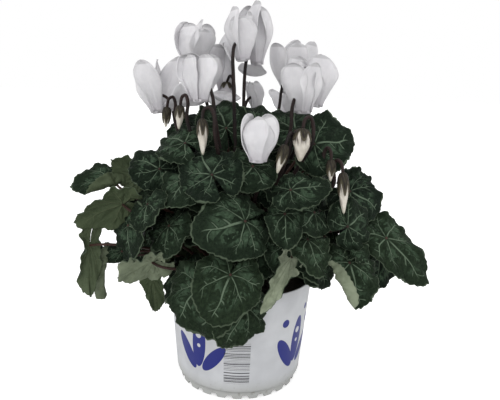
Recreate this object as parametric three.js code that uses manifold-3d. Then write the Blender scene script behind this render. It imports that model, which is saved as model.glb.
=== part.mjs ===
// Potted cyclamen in a 12 cm nursery pot.
// Millimetres, +Z up. The origin is under the middle of the pot, on the ground.
// The plant's front faces -Y.

import * as THREE from 'three';
import { mergeVertices } from 'three/addons/utils/BufferGeometryUtils.js';
import ManifoldModule from 'manifold-3d';

const wasm = await ManifoldModule();
wasm.setup();
const { Manifold } = wasm;

// Pot
const POT_HEIGHT = 90;
const RIM_RADIUS = 60;
const WALL_FOOT_RADIUS = 52.8;
const WALL_FOOT_HEIGHT = 9;
const WALL = 1.2;
const FOOT_RADIUS = 49.5;
const FOOT_HEIGHT = 6.2;
const FOOT_WALL = 1.6;
const NOTCH_COUNT = 24;
const NOTCH_WIDTH = 4.4;
const NOTCH_HEIGHT = 2.4;
const DRAIN_COUNT = 6;
const DRAIN_RADIUS = 4;
const DRAIN_CIRCLE = 34;
const POT_SIDES = 32;

// Soil and corm
const GAP = 0.3;
const SOIL_TOP = 78;
const SOIL_LUMP = 1.6;
const SOIL_SIDES = 20;
const CORM_RADIUS = 21;
const CORM_HALF_HEIGHT = 12;
const CORM_CENTRE = 74;

// Leaves
const BLADE = 0.8;
const GRIDS = { large: [14, 2], small: [12, 2], inner: [12, 1] };
const LARGE = 45;
const NOTCH_ANGLE = 172 * Math.PI / 180;
const TEETH = 0.035;
const SETTLE_STEP = 1.5;
const SETTLE_LIMIT = 6;
const TILTS = [0, -10, 10, -20, 20];
const BUNCH_LIMIT = 3;
const JOIN_LEAST = 3;
const JOIN_MOST = 25;
const LEAF_STEM = 1.7;
const LEAF_STEM_TIP = 1.2;
const STEM_BOWS = [
  [0, 1], [8, 1], [-8, 1], [0, 1.3], [0, 0.75], [14, 1.2], [-14, 1.2], [14, 0.8], [-14, 0.8],
  [22, 1], [-22, 1], [0, 1.7], [0, 0.5],
];

// Flowers
const PETAL = 0.8;
const PETAL_COUNT = 5;
const CUP_HEIGHT = 7;
const CUP_TOP_RADIUS = 3.8;
const MOUTH_RADIUS = 6.2;
const LIP_RADIUS = 7.8;
const STEM_SIDE = 12.5;
const PETAL_SPAN = 67;
const PETAL_HALF_ROOT = 4.2;
const PETAL_HALF_WIDTH = 11.5;
const PETAL_WIDEST = 0.62;
const PETAL_STATIONS = [0.3, 0.62, 0.88];
const FLOWER_STEM = 1.9;
const FLOWER_STEM_TIP = 1.3;

const MATERIALS = {
  pot: new THREE.MeshStandardMaterial({ color: 0xe4e5e8, roughness: 0.35, metalness: 0 }),
  soil: new THREE.MeshStandardMaterial({ color: 0x2a211b, roughness: 0.95, metalness: 0 }),
  stem: new THREE.MeshStandardMaterial({ color: 0x3a2420, roughness: 0.6, metalness: 0 }),
  leaf: new THREE.MeshStandardMaterial({ color: 0x24352a, roughness: 0.6, metalness: 0 }),
  petal: new THREE.MeshStandardMaterial({ color: 0xeeecf0, roughness: 0.6, metalness: 0 }),
  bud: new THREE.MeshStandardMaterial({ color: 0xd8d0b8, roughness: 0.6, metalness: 0 }),
};

// Leaves seen from the front. at is where the stem meets the blade, tip is the point of the
// heart, face is the way the upper side looks. Without a face the blade looks outward.
const FRONT_LEAVES = [
  { at: [-7, -92, 119], tip: [-19, -108, 89], width: 48 },
  { at: [2, -82, 154], tip: [-32, -98, 145], width: 52, face: [0, -8, 4] },
  { at: [-22, -66, 182], tip: [-41, -34, 206], width: 46, face: [-1, -8, 6] },
  { at: [-28, -82, 107], tip: [-18, -94, 72], width: 56 },
  { at: [51, -48, 206], tip: [82, -44, 201], width: 46, face: [2, -8, 6] },
  { at: [32, -78, 176], tip: [60, -78, 179], width: 46, face: [0, -5, 8] },
  { at: [77, -42, 168], tip: [104, -40, 161], width: 44 },
  { at: [107, -50, 130], tip: [138, -50, 114], width: 52, face: [4, -8, 5] },
  { at: [74, -70, 121], tip: [82, -84, 93], width: 46, fold: 50 },
  { at: [29, -78, 159], tip: [30, -92, 137], width: 32, fold: 70 },
  { at: [46, -76, 141], tip: [54, -92, 125], width: 42 },
  { at: [-40, -58, 179], tip: [-57, -74, 166], width: 46 },
  { at: [-85, -50, 140], tip: [-76, -66, 117], width: 44 },
  { at: [-103, 0, 171], tip: [-138, -2, 165], width: 48, fold: 80, face: [-2, 8, 5] },
  { at: [-93, -34, 152], tip: [-128, -40, 136], width: 50, fold: 50, face: [-3, 8, 5] },
  { at: [-114, -26, 115], tip: [-125, -36, 80], width: 40, fold: 170, face: [-6, 7, 0] },
  { at: [-113, -16, 100], tip: [-116, -22, 70], width: 34, fold: 140, face: [-6, -5, 2] },
  { at: [-61, -60, 114], tip: [-91, -56, 103], width: 36, fold: 60, face: [0, 7, 5] },
  { at: [-74, -34, 95], tip: [-69, -38, 70], width: 34, fold: 60 },
  { at: [36, -66, 124], tip: [13, -86, 88], width: 32, fold: 110, face: [3, 7, 4] },
  { at: [108, -36, 116], tip: [104, -48, 88], width: 44, face: [3, -8, 3] },
  { at: [5, -78, 91], tip: [-14, -93, 68], width: 40, inner: true },
  { at: [-90, -6, 173], tip: [-105, -10, 183], width: 34, face: [-2, 6, 6] },
  { at: [-64, -34, 181], tip: [-86, -24, 186], width: 42, face: [-3, -5, 7] },
  { at: [-41, -34, 194], tip: [-62, -12, 204], width: 44, face: [-2, -5, 7] },
  { at: [-15, -14, 212], tip: [-27, 14, 228], width: 44, face: [0, -5, 8] },
  { at: [13, -4, 218], tip: [3, 30, 232], width: 46, face: [0, -5, 8] },
  { at: [39, -16, 212], tip: [37, 16, 228], width: 44, face: [1, -5, 8] },
  { at: [66, -20, 198], tip: [86, -2, 213], width: 44, face: [3, -6, 7] },
  { at: [6, -62, 188], tip: [-4, -74, 174], width: 40, inner: true },
  { at: [-67, -56, 157], tip: [-67, -72, 141], width: 38, inner: true },
  { at: [49, -66, 157], tip: [38, -80, 147], width: 36, inner: true },
  { at: [69, -60, 145], tip: [89, -52, 156], width: 40, inner: true },
  { at: [84, -56, 128], tip: [93, -62, 121], width: 34, inner: true },
  { at: [-53, -62, 144], tip: [-58, -78, 126], width: 40, inner: true },
  { at: [56, -62, 122], tip: [57, -70, 102], width: 36, inner: true },
  { at: [-45, -46, 150], tip: [-58, -60, 120], width: 46, inner: true },
  { at: [-62, -20, 173], tip: [-77, -40, 142], width: 44, face: [-6, -5, 4], inner: true },
  { at: [-76, 8, 182], tip: [-92, 0, 170], width: 40, face: [-3, 4, 8], inner: true },
  { at: [30, -62, 132], tip: [30, -72, 112], width: 36, inner: true },
];

// Rings of leaves round the back, out of sight from the front
const BACK_TIERS = [
  { count: 5, from: 22, to: 158, radius: 84, height: 112, drop: 26, length: 38 },
  { count: 5, from: 12, to: 168, radius: 74, height: 158, drop: 14, length: 38 },
  { count: 5, from: 25, to: 155, radius: 40, height: 192, drop: 2, length: 36 },
];

// Blooms. mouth is the middle of the opening, top is the height of the petal tips, side is the
// compass angle where the stem comes up, lean opens the petals, belly bows them out.
const BLOOMS = [
  { mouth: [-73, 20, 221], top: [-79, 20, 259], side: 20, lean: 18, belly: 3, twist: 30, fallen: 4 },
  { mouth: [-44, 16, 258], top: [-46, 16, 292], side: 60, lean: 11, belly: 3, twist: 30 },
  { mouth: [-35, -22, 232], top: [-37, -22, 266], side: 330, lean: 10, belly: 2, twist: 32 },
  { mouth: [-18, 44, 240], top: [-16, 44, 272], side: 350, lean: 14, belly: 2, twist: 30, fallen: 4 },
  { mouth: [-3, -12, 265], top: [-7, -12, 300], side: 262, lean: 4, belly: 3, twist: 34, size: 0.84 },
  { mouth: [13, 19, 264], top: [13, 19, 309], side: 265, lean: 6, belly: 5, twist: 20, size: 0.95 },
  { mouth: [13, 62, 222], top: [14, 62, 254], side: 200, lean: 6, belly: 2, twist: 30, size: 0.7 },
  { mouth: [39, 47, 240], top: [40, 47, 283], side: 240, lean: 15, belly: 3, twist: 25 },
  { mouth: [57, 12, 230], top: [61, 12, 266], side: 250, lean: 10, belly: 3, twist: 30 },
  { mouth: [41, -23, 226], top: [39, -23, 262], side: 215, lean: 8, belly: 4, twist: 20 },
  { mouth: [46, 76, 216], top: [48, 76, 246], side: 120, lean: 11, belly: 3, twist: 25, size: 0.9 },
  { mouth: [9, -70, 192], top: [10, -70, 226], side: 75, lean: -2, belly: 7, twist: 26, size: 0.84 },
];

// Buds hang point down. top is the calyx end, side the compass angle of the stem.
const BUDS = [
  { top: [-31, -48, 220], tip: [-30, -50, 194], radius: 3.6, side: 350 },
  { top: [-50, -22, 228], tip: [-51, -22, 210], radius: 3.2, side: 200 },
  { top: [-63, -2, 226], tip: [-64, -2, 210], radius: 3, side: 160 },
  { top: [40, -60, 216], tip: [39, -62, 193], radius: 5.4, side: 30 },
  { top: [28, -66, 205], tip: [23, -68, 185], radius: 3.2, side: 60 },
  { top: [69, -66, 187], tip: [71, -69, 158], radius: 4.2, side: 130 },
  { top: [61, -62, 195], tip: [61, -64, 180], radius: 2.8, side: 120 },
];

const vec = (a) => new THREE.Vector3(a[0], a[1], a[2]);
const radians = (d) => d * Math.PI / 180;
const frac = (x) => x - Math.floor(x);
const jitter = (i, j) => 2 * frac(Math.sin(i * 12.9898 + j * 78.233) * 43758.5453) - 1;
const smooth = (a, b, x) => THREE.MathUtils.smoothstep(x, a, b);

// Takes a point from a frame with the axes x, y and z at start
function placer(start, x, y, z) {
  return (p) => start.clone().addScaledVector(x, p.x).addScaledVector(y, p.y).addScaledVector(z, p.z);
}

// Solids

function geometryOf(points, faces) {
  const geometry = new THREE.BufferGeometry();
  const flat = points.flatMap((p) => [p.x, p.y, p.z]);
  geometry.setAttribute('position', new THREE.Float32BufferAttribute(flat, 3));
  geometry.setIndex(faces.flat());
  return geometry;
}

function signedVolume(position, index) {
  const a = new THREE.Vector3();
  const b = new THREE.Vector3();
  const c = new THREE.Vector3();
  let sum = 0;
  for (let i = 0; i < index.count; i += 3) {
    a.fromBufferAttribute(position, index.getX(i));
    b.fromBufferAttribute(position, index.getX(i + 1));
    c.fromBufferAttribute(position, index.getX(i + 2));
    sum += a.dot(b.cross(c));
  }
  return sum;
}

function solid(source) {
  const bare = source.clone();
  bare.deleteAttribute('normal');
  bare.deleteAttribute('uv');
  const geometry = mergeVertices(bare, 1e-4);
  const index = Array.from(geometry.index.array);
  const faces = [];
  for (let i = 0; i < index.length; i += 3) {
    const [a, b, c] = index.slice(i, i + 3);
    if (a !== b && b !== c && c !== a) {
      faces.push(a, b, c);
    }
  }
  geometry.setIndex(faces);
  if (signedVolume(geometry.attributes.position, geometry.index) < 0) {
    faces.reverse();
  }
  return new Manifold(new wasm.Mesh({
    numProp: 3,
    vertProperties: Float32Array.from(geometry.attributes.position.array),
    triVerts: Uint32Array.from(faces),
  }));
}

function largest(body) {
  const parts = body.decompose();
  return parts.reduce((best, part) => (part.volume() > best.volume() ? part : best));
}

function addMesh(group, name, body, material) {
  const { vertProperties, triVerts } = body.getMesh();
  const geometry = new THREE.BufferGeometry();
  geometry.setAttribute('position', new THREE.BufferAttribute(new Float32Array(vertProperties), 3));
  geometry.setIndex(Array.from(triVerts));
  geometry.computeVertexNormals();
  const mesh = new THREE.Mesh(geometry, material.clone());
  mesh.name = name;
  group.add(mesh);
}

function apart(a, b) {
  const p = a.boundingBox();
  const q = b.boundingBox();
  return [0, 1, 2].some((k) => p.max[k] < q.min[k] || q.max[k] < p.min[k]);
}

function overlap(a, b) {
  return apart(a, b) ? 0 : a.intersect(b).volume();
}

function lathe(profile, sides) {
  return new THREE.LatheGeometry(profile.map(([r, z]) => new THREE.Vector2(r, z)), sides)
    .rotateX(Math.PI / 2);
}

// Closed tube along a curve, with its radius set along the way
function sweep(curve, steps, sides, radiusAt) {
  const frames = curve.computeFrenetFrames(steps);
  const points = [];
  const faces = [];
  for (let i = 0; i <= steps; i += 1) {
    const centre = curve.getPoint(i / steps);
    for (let j = 0; j < sides; j += 1) {
      const a = 2 * Math.PI * j / sides;
      const r = radiusAt(i / steps);
      points.push(centre.clone()
        .addScaledVector(frames.normals[i], r * Math.cos(a))
        .addScaledVector(frames.binormals[i], r * Math.sin(a)));
    }
  }
  const at = (i, j) => i * sides + j % sides;
  for (let j = 0; j < sides; j += 1) {
    if (j > 0 && j < sides - 1) {
      faces.push([at(0, 0), at(0, j + 1), at(0, j)]);
      faces.push([at(steps, 0), at(steps, j), at(steps, j + 1)]);
    }
    for (let i = 0; i < steps; i += 1) {
      faces.push([at(i, j), at(i, j + 1), at(i + 1, j + 1)]);
      faces.push([at(i, j), at(i + 1, j + 1), at(i + 1, j)]);
    }
  }
  return solid(geometryOf(points, faces));
}

// Pot

function wallRadius(z) {
  const t = (z - WALL_FOOT_HEIGHT) / (POT_HEIGHT - WALL_FOOT_HEIGHT);
  return WALL_FOOT_RADIUS + (RIM_RADIUS - WALL_FOOT_RADIUS) * t;
}

function makePot() {
  const floor = FOOT_HEIGHT + WALL;
  const body = solid(lathe([
    [0, FOOT_HEIGHT],
    [FOOT_RADIUS - FOOT_WALL, FOOT_HEIGHT],
    [FOOT_RADIUS - FOOT_WALL, 0],
    [FOOT_RADIUS, 0],
    [FOOT_RADIUS, FOOT_HEIGHT],
    [WALL_FOOT_RADIUS - 1.4, FOOT_HEIGHT + 0.6],
    [WALL_FOOT_RADIUS, WALL_FOOT_HEIGHT],
    [RIM_RADIUS, POT_HEIGHT],
    [RIM_RADIUS - WALL, POT_HEIGHT],
    [WALL_FOOT_RADIUS - WALL, WALL_FOOT_HEIGHT + 0.6],
    [WALL_FOOT_RADIUS - 2.4, floor],
    [0, floor],
  ], POT_SIDES));
  const cutters = [];
  for (let i = 0; i < NOTCH_COUNT; i += 1) {
    const notch = new THREE.BoxGeometry(2 * FOOT_WALL + 2, NOTCH_WIDTH, 2 * NOTCH_HEIGHT);
    notch.translate(FOOT_RADIUS - FOOT_WALL / 2, 0, 0);
    notch.rotateZ(2 * Math.PI * (i + 0.5) / NOTCH_COUNT);
    cutters.push(solid(notch));
  }
  for (let i = 0; i < DRAIN_COUNT; i += 1) {
    const drain = new THREE.CylinderGeometry(DRAIN_RADIUS, DRAIN_RADIUS, 4 * WALL, 10);
    drain.rotateX(Math.PI / 2);
    drain.translate(DRAIN_CIRCLE, 0, FOOT_HEIGHT + WALL / 2);
    drain.rotateZ(2 * Math.PI * (i + 0.25) / DRAIN_COUNT);
    cutters.push(solid(drain));
  }
  return body.subtract(Manifold.union(cutters));
}

// Soil

function cormShape(grow) {
  const rows = 6;
  const profile = [];
  for (let i = 0; i <= rows; i += 1) {
    const a = Math.PI * (i / rows - 0.5);
    const r = (CORM_RADIUS + grow) * Math.cos(a);
    profile.push([Math.abs(r) < 1e-6 ? 0 : r, CORM_CENTRE + (CORM_HALF_HEIGHT + grow) * Math.sin(a)]);
  }
  return solid(lathe(profile, 12));
}

function makeSoil() {
  const bottom = FOOT_HEIGHT + WALL + GAP;
  const inner = (z) => wallRadius(z) - WALL - GAP - 0.3;
  const edge = inner(SOIL_TOP - 2);
  const geometry = lathe([
    [0, bottom],
    [WALL_FOOT_RADIUS - 3.2, bottom],
    [inner(14) - 0.2, 14],
    [edge, SOIL_TOP - 2],
    [edge - 3, SOIL_TOP],
    [44, SOIL_TOP],
    [32, SOIL_TOP],
    [18, SOIL_TOP],
    [0, SOIL_TOP],
  ], SOIL_SIDES);
  const position = geometry.attributes.position;
  for (let i = 0; i < position.count; i += 1) {
    const x = position.getX(i);
    const y = position.getY(i);
    const r = Math.hypot(x, y);
    if (position.getZ(i) > SOIL_TOP - 0.1 && r < 50) {
      const lump = jitter(Math.round(x * 3), Math.round(y * 3));
      position.setZ(i, SOIL_TOP + SOIL_LUMP * lump + 2 * Math.exp(-((r / 30) ** 2)));
    }
  }
  return solid(geometry).subtract(cormShape(GAP));
}

// Leaves

// Distance from the stem to the heart's edge, for a tip at 0.86
function heart(a) {
  const b = Math.abs(a);
  const reach = 0.5 + 0.36 * Math.exp(-((b / 0.8) ** 1.5));
  return reach * (1 - 0.18 * smooth(radians(150), radians(175), b));
}

function leafFrame(leaf, tilt) {
  const at = vec(leaf.at);
  const x = vec(leaf.tip).sub(at).normalize();
  const outward = at.clone().sub(vec([0, 0, 110])).normalize();
  const face = leaf.face ? vec(leaf.face).normalize()
    : at.clone().sub(vec([0, 0, 150])).normalize().add(vec([0, 0, 0.5]));
  const z = face.addScaledVector(x, -face.dot(x)).normalize();
  const y = z.clone().cross(x);
  x.applyAxisAngle(y, radians(tilt));
  z.applyAxisAngle(y, radians(tilt));
  return { at, x, y, z, outward };
}

// Bend z over x, by the angle bend over the length span
function bow(x, z, bend, span) {
  if (Math.abs(bend) < 1e-3) {
    return [x, z];
  }
  const r = span / bend;
  return [(r + z) * Math.sin(x / r), (r + z) * Math.cos(x / r) - r];
}

function leafPoint(leaf, a, v) {
  const { length, width, fold, droop, waves, phase, wave } = leaf;
  const r = v * heart(a);
  let x = r * Math.cos(a) / 0.86 * length * (droop / 2) / Math.sin(droop / 2);
  let y = r * Math.sin(a) / 1.054 * width;
  let z = wave * v * v * Math.sin(waves * a + phase);
  [y, z] = bow(y, z, fold, width);
  [x, z] = bow(x, z, droop, length);
  const c = Math.cos(droop / 2);
  const s = Math.sin(droop / 2);
  return new THREE.Vector3(x * c - z * s, y, x * s + z * c);
}

function leafNormal(leaf, a, v) {
  const e = 0.01;
  const w = Math.max(v, 0.05);
  const da = leafPoint(leaf, a + e, w).sub(leafPoint(leaf, a - e, w));
  const dv = leafPoint(leaf, a, w + e).sub(leafPoint(leaf, a, w - e));
  return dv.cross(da).normalize();
}

function bladePlaces(leaf, pose) {
  const { at, x, y, z, outward } = leafFrame(leaf, pose.tilt);
  return placer(at.addScaledVector(outward, pose.step * SETTLE_STEP), x, y, z);
}

function blade(leaf, pose, grow) {
  const [sectors, rings] = leaf.grid;
  const place = bladePlaces(leaf, pose);
  const half = BLADE / 2 + grow;
  const top = [];
  const under = [];
  const addPair = (p, n) => {
    top.push(place(p.clone().addScaledVector(n, half)));
    under.push(place(p.clone().addScaledVector(n, -half)));
  };
  addPair(leafPoint(leaf, 0, 0), new THREE.Vector3(0, 0, 1));
  for (let j = 1; j <= rings; j += 1) {
    for (let i = 0; i <= sectors; i += 1) {
      const a = NOTCH_ANGLE * (2 * i / sectors - 1);
      const edge = j === rings ? 1 + (i % 2 ? TEETH : -TEETH) + grow / 18 : 1;
      const v = edge * j / rings;
      addPair(leafPoint(leaf, a, v), leafNormal(leaf, a, v));
    }
  }
  const at = (j, i) => 1 + (j - 1) * (sectors + 1) + i;
  const sheet = [];
  const rim = [0, at(1, 0)];
  for (let i = 0; i < sectors; i += 1) {
    sheet.push([0, at(1, i), at(1, i + 1)]);
    for (let j = 1; j < rings; j += 1) {
      sheet.push([at(j, i), at(j + 1, i), at(j + 1, i + 1)]);
      sheet.push([at(j, i), at(j + 1, i + 1), at(j, i + 1)]);
    }
  }
  for (let i = 0; i <= sectors; i += 1) {
    rim.push(at(rings, i));
  }
  for (let j = rings - 1; j > 0; j -= 1) {
    rim.push(at(j, sectors));
  }
  return closeSheet(top, under, sheet, rim);
}

// Two copies of a sheet, top and under, joined round the rim
function closeSheet(top, under, sheet, rim) {
  const n = top.length;
  const faces = [];
  sheet.forEach(([a, b, c]) => faces.push([a, b, c], [c + n, b + n, a + n]));
  rim.forEach((p, k) => {
    const q = rim[(k + 1) % rim.length];
    faces.push([p, p + n, q + n], [p, q + n, q]);
  });
  return solid(geometryOf([...top, ...under], faces));
}

function finishLeaf(leaf, i) {
  const waves = 3 + i % 2;
  const phase = Math.PI * jitter(i, 1);
  const wave = 2.2 + 1.2 * jitter(i, 2);
  const fold = radians(leaf.fold ?? 30 + 10 * jitter(i, 3));
  const droop = radians(30 + 10 * jitter(i, 4));
  const length = vec(leaf.tip).distanceTo(vec(leaf.at));
  const grid = GRIDS[leaf.inner ? 'inner' : leaf.width > LARGE ? 'large' : 'small'];
  return { ...leaf, length, waves, phase, wave, fold, droop, grid };
}

function backLeaves() {
  const leaves = [];
  BACK_TIERS.forEach((tier, t) => {
    for (let i = 0; i < tier.count; i += 1) {
      const share = (i + 0.25 * jitter(i, 5 + t)) / (tier.count - 1);
      const a = radians(tier.from + (tier.to - tier.from) * share);
      const r = tier.radius + 3 * jitter(i, 10 + t);
      const h = tier.height + 5 * jitter(i, 20 + t);
      const out = Math.sqrt(tier.length ** 2 - tier.drop ** 2);
      const turn = a + 0.5 * jitter(i, 30 + t);
      leaves.push({
        at: [r * Math.cos(a), r * Math.sin(a), h],
        tip: [r * Math.cos(a) + out * Math.cos(turn), r * Math.sin(a) + out * Math.sin(turn), h - tier.drop],
        width: 50,
        inner: i % 3 !== 0,
      });
    }
  });
  return leaves;
}

const LEAVES = [...FRONT_LEAVES, ...backLeaves()].map(finishLeaf);

// Poses to try for a blade, the smallest change first
function settlePoses() {
  const poses = [];
  for (let step = -SETTLE_LIMIT; step <= SETTLE_LIMIT; step += 1) {
    TILTS.forEach((tilt) => poses.push({ step, tilt }));
  }
  const cost = (p) => Math.abs(p.step) + 0.12 * Math.abs(p.tilt) + (p.step > 0 ? 0.1 : 0);
  return poses.sort((a, b) => cost(a) - cost(b));
}

// The first pose in which the blade is clear, or crosses one other bunch if it may grow into it
function findPose(leaf, poses, avoid, bunches, mayJoin) {
  for (const pose of poses) {
    const fat = blade(leaf, pose, GAP);
    if (avoid.some((b) => overlap(fat, b) > 0)) {
      continue;
    }
    const crossed = bunches.filter((b) => overlap(fat, b.body) > 0);
    if (crossed.length === 0 && !mayJoin) {
      return { pose, body: blade(leaf, pose, 0) };
    }
    if (mayJoin && crossed.length === 1 && crossed[0].leaves.length < BUNCH_LIMIT) {
      const body = blade(leaf, pose, 0);
      const shared = overlap(body, crossed[0].body);
      if (shared > JOIN_LEAST && shared < JOIN_MOST) {
        return { pose, body, other: crossed[0] };
      }
    }
  }
  return null;
}

// Each blade moves a little until it is clear of what is placed. A blade marked inner, or one
// with no room of its own, joins a bunch that it crosses. First tries stay close and off stems.
function settleLeaves(obstacles, flowerStems) {
  const bunches = [];
  const poses = settlePoses();
  const near = poses.filter((p) => Math.abs(p.step) <= 3);
  LEAVES.forEach((leaf) => {
    const all = [...obstacles, ...flowerStems];
    const found = (leaf.inner && findPose(leaf, poses, obstacles, bunches, true))
      || findPose(leaf, near, all, bunches, false)
      || findPose(leaf, poses, obstacles, bunches, false)
      || findPose(leaf, poses, obstacles, bunches, true);
    const entry = { leaf, pose: found.pose };
    if (found.other) {
      found.other.body = found.other.body.add(found.body);
      found.other.leaves.push(entry);
    } else {
      bunches.push({ body: found.body, leaves: [entry] });
    }
  });
  return bunches;
}

// Where a leaf's stem ends, just under the blade
function stemEnd(leaf, pose) {
  const place = bladePlaces(leaf, pose);
  const centre = place(leafPoint(leaf, 0, 0));
  const { x, z } = leafFrame(leaf, pose.tilt);
  const [sectors, rings] = leaf.grid;
  let slope = 0;
  for (let i = 0; i <= sectors; i += 1) {
    const p = place(leafPoint(leaf, NOTCH_ANGLE * (2 * i / sectors - 1), 1 / rings)).sub(centre);
    const fall = -p.dot(z);
    slope = Math.max(slope, fall / Math.sqrt(Math.max(p.lengthSq() - fall * fall, 1)));
  }
  const end = centre.clone().addScaledVector(z, -(BLADE / 2 + 1.5 * GAP + slope * (LEAF_STEM_TIP + GAP)));
  return { end, centre, x, z };
}

// Stem from the corm to just under the blade, bowed aside and lifted by one of the STEM_BOWS
function leafStem({ end, centre, x, z }, [shift, lift]) {
  const azimuth = Math.atan2(centre.y, centre.x);
  const reach = Math.hypot(centre.x, centre.y);
  const root = THREE.MathUtils.clamp(15 - (centre.z - 90) * 0.08, 6, 14);
  const out = (r, h) => vec([r * Math.cos(azimuth), r * Math.sin(azimuth), h]);
  const aside = vec([-Math.sin(azimuth), Math.cos(azimuth), 0]).multiplyScalar(shift);
  const rise = 84 + Math.max(30, (centre.z - 80) * 0.6) * lift;
  const first = out(root + 0.22 * reach, Math.min(rise, Math.max(centre.z - 20, 125))).add(aside);
  const second = end.clone().addScaledVector(z, -22).addScaledVector(x, -8).add(aside);
  second.z = Math.max(second.z, 101);
  return new THREE.CubicBezierCurve3(out(root - 2, CORM_CENTRE + 3), first, second, end);
}

function leafStemBody(curve, grow) {
  return sweep(curve, 3, 3, (t) => LEAF_STEM + (LEAF_STEM_TIP - LEAF_STEM) * t + grow);
}

function flowerStemBody(curve, grow) {
  return sweep(curve, 8, 4, (t) => FLOWER_STEM + (FLOWER_STEM_TIP - FLOWER_STEM) * t + grow);
}

// The bow that crosses the other blades and blooms least
function bestLeafStem(leaf, pose, blades) {
  const ends = stemEnd(leaf, pose);
  let best = null;
  STEM_BOWS.forEach((option) => {
    const curve = leafStem(ends, option);
    const body = leafStemBody(curve, GAP);
    const crossed = blades.filter((b) => overlap(b, body) > 0).length;
    if (!best || crossed < best.crossed) {
      best = { curve, crossed };
    }
  });
  return best.curve;
}

// Blooms

function bloomFrame(bloom) {
  const mouth = vec(bloom.mouth);
  const up = vec(bloom.top).sub(mouth).normalize();
  const a = radians(bloom.side);
  const side = new THREE.Vector3(Math.cos(a), Math.sin(a), 0);
  side.addScaledVector(up, -side.dot(up)).normalize();
  const across = up.clone().cross(side);
  return { mouth, up, side, across };
}

function petalHalf(s, size) {
  const widest = PETAL_HALF_WIDTH * size;
  if (s < PETAL_WIDEST) {
    const t = s / PETAL_WIDEST;
    return PETAL_HALF_ROOT + (widest - PETAL_HALF_ROOT) * t ** 1.6;
  }
  const t = (s - PETAL_WIDEST) / (1 - PETAL_WIDEST);
  return widest * Math.sqrt(Math.max(1 - t * t, 0));
}

// Petals stand round the mouth, with a wider gap where the stem passes
const petalAngle = (k) => radians(STEM_SIDE + PETAL_SPAN * (k + 0.5));

function petalPoint(bloom, index, k, s, t) {
  const fallen = bloom.fallen === k;
  const lean = radians(fallen ? 105 : bloom.lean + 2 * jitter(index, 40 + k));
  const rise = vec(bloom.top).distanceTo(vec(bloom.mouth));
  const length = rise / Math.cos(radians(bloom.lean)) * (1 + 0.05 * jitter(index, 50 + k));
  const twist = radians(bloom.twist) * (1 + 0.15 * jitter(index, 60 + k)) * s;
  const belly = fallen ? 0 : bloom.belly;
  const bulge = belly * Math.sin(Math.PI * s);
  const turn = lean + Math.atan(Math.cos(Math.PI * s) * Math.PI * belly / length);
  const r = LIP_RADIUS + length * s * Math.sin(lean) + bulge * Math.cos(lean);
  const h = length * s * Math.cos(lean) - bulge * Math.sin(lean);
  const half = petalHalf(s, bloom.size ?? 1);
  const w = half * t;
  const cupped = -0.08 * half * t * t;
  const along = w * Math.cos(twist) - cupped * Math.sin(twist);
  const out = w * Math.sin(twist) + cupped * Math.cos(twist);
  const radial = r + out * Math.cos(turn);
  const height = h - out * Math.sin(turn);
  const a = petalAngle(k);
  return new THREE.Vector3(
    radial * Math.cos(a) - along * Math.sin(a), radial * Math.sin(a) + along * Math.cos(a), height);
}

function bloomPlaces(bloom) {
  const { mouth, up, side, across } = bloomFrame(bloom);
  return placer(mouth, side, across, up);
}

// One sheet: the cap and wall of the cup, its lip, and the petals turned up from the lip
function bloomSheet(bloom, index) {
  const points = [new THREE.Vector3(0, 0, CUP_HEIGHT)];
  const sheet = [];
  const count = 2 * PETAL_COUNT + 1;
  const rings = [[CUP_TOP_RADIUS, CUP_HEIGHT - 1], [MOUTH_RADIUS, 0], [LIP_RADIUS, 0]];
  rings.forEach(([r, h]) => {
    for (let j = 0; j < count; j += 1) {
      const a = radians(STEM_SIDE + PETAL_SPAN * j / 2);
      points.push(new THREE.Vector3(r * Math.cos(a), r * Math.sin(a), h));
    }
  });
  const ring = (i, j) => 1 + i * count + j % count;
  for (let j = 0; j < count; j += 1) {
    sheet.push([0, ring(0, j), ring(0, j + 1)]);
    for (let i = 0; i < rings.length - 1; i += 1) {
      sheet.push([ring(i, j), ring(i + 1, j), ring(i + 1, j + 1)]);
      sheet.push([ring(i, j), ring(i + 1, j + 1), ring(i, j + 1)]);
    }
  }
  const rim = [];
  for (let k = 0; k < PETAL_COUNT; k += 1) {
    let row = [0, 1, 2].map((i) => ring(2, 2 * k + i));
    const left = [row[0]];
    const right = [];
    PETAL_STATIONS.forEach((s) => {
      const next = [-1, 0, 1].map((t) => points.push(petalPoint(bloom, index, k, s, t)) - 1);
      [0, 1].forEach((i) => {
        sheet.push([row[i], next[i], next[i + 1]], [row[i], next[i + 1], row[i + 1]]);
      });
      left.push(next[0]);
      right.unshift(next[2]);
      row = next;
    });
    const tip = points.push(petalPoint(bloom, index, k, 1, 0)) - 1;
    sheet.push([row[0], tip, row[1]], [row[1], tip, row[2]]);
    rim.push(...left, tip, ...right);
  }
  rim.push(ring(2, count - 1));
  return { points, sheet, rim };
}

// Offsets a sheet both ways along its mean normals
function thicken({ points, sheet, rim }, half, place) {
  const normals = points.map(() => new THREE.Vector3());
  sheet.forEach(([a, b, c]) => {
    const u = points[b].clone().sub(points[a]);
    const n = u.cross(points[c].clone().sub(points[a])).normalize();
    [a, b, c].forEach((i) => normals[i].add(n));
  });
  const shift = (d) => points.map((p, i) => place(p.clone().addScaledVector(normals[i].normalize(), d)));
  return closeSheet(shift(half), shift(-half), sheet, rim);
}

function makeBloom(bloom, index, grow) {
  return thicken(bloomSheet(bloom, index), PETAL / 2 + grow, bloomPlaces(bloom));
}

// Stem from the corm, up beside the mouth and hooked over into the calyx
function bloomStem(bloom) {
  const place = bloomPlaces(bloom);
  const end = CUP_HEIGHT + PETAL / 2 + 2 * GAP;
  const hook = [[13, 0, -12], [11.5, 0, 3], [8.4, 0, 11], [3.6, 0, 13.4], [0, 0, end]];
  return stemCurve(hook.map((p) => place(vec(p))));
}

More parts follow.
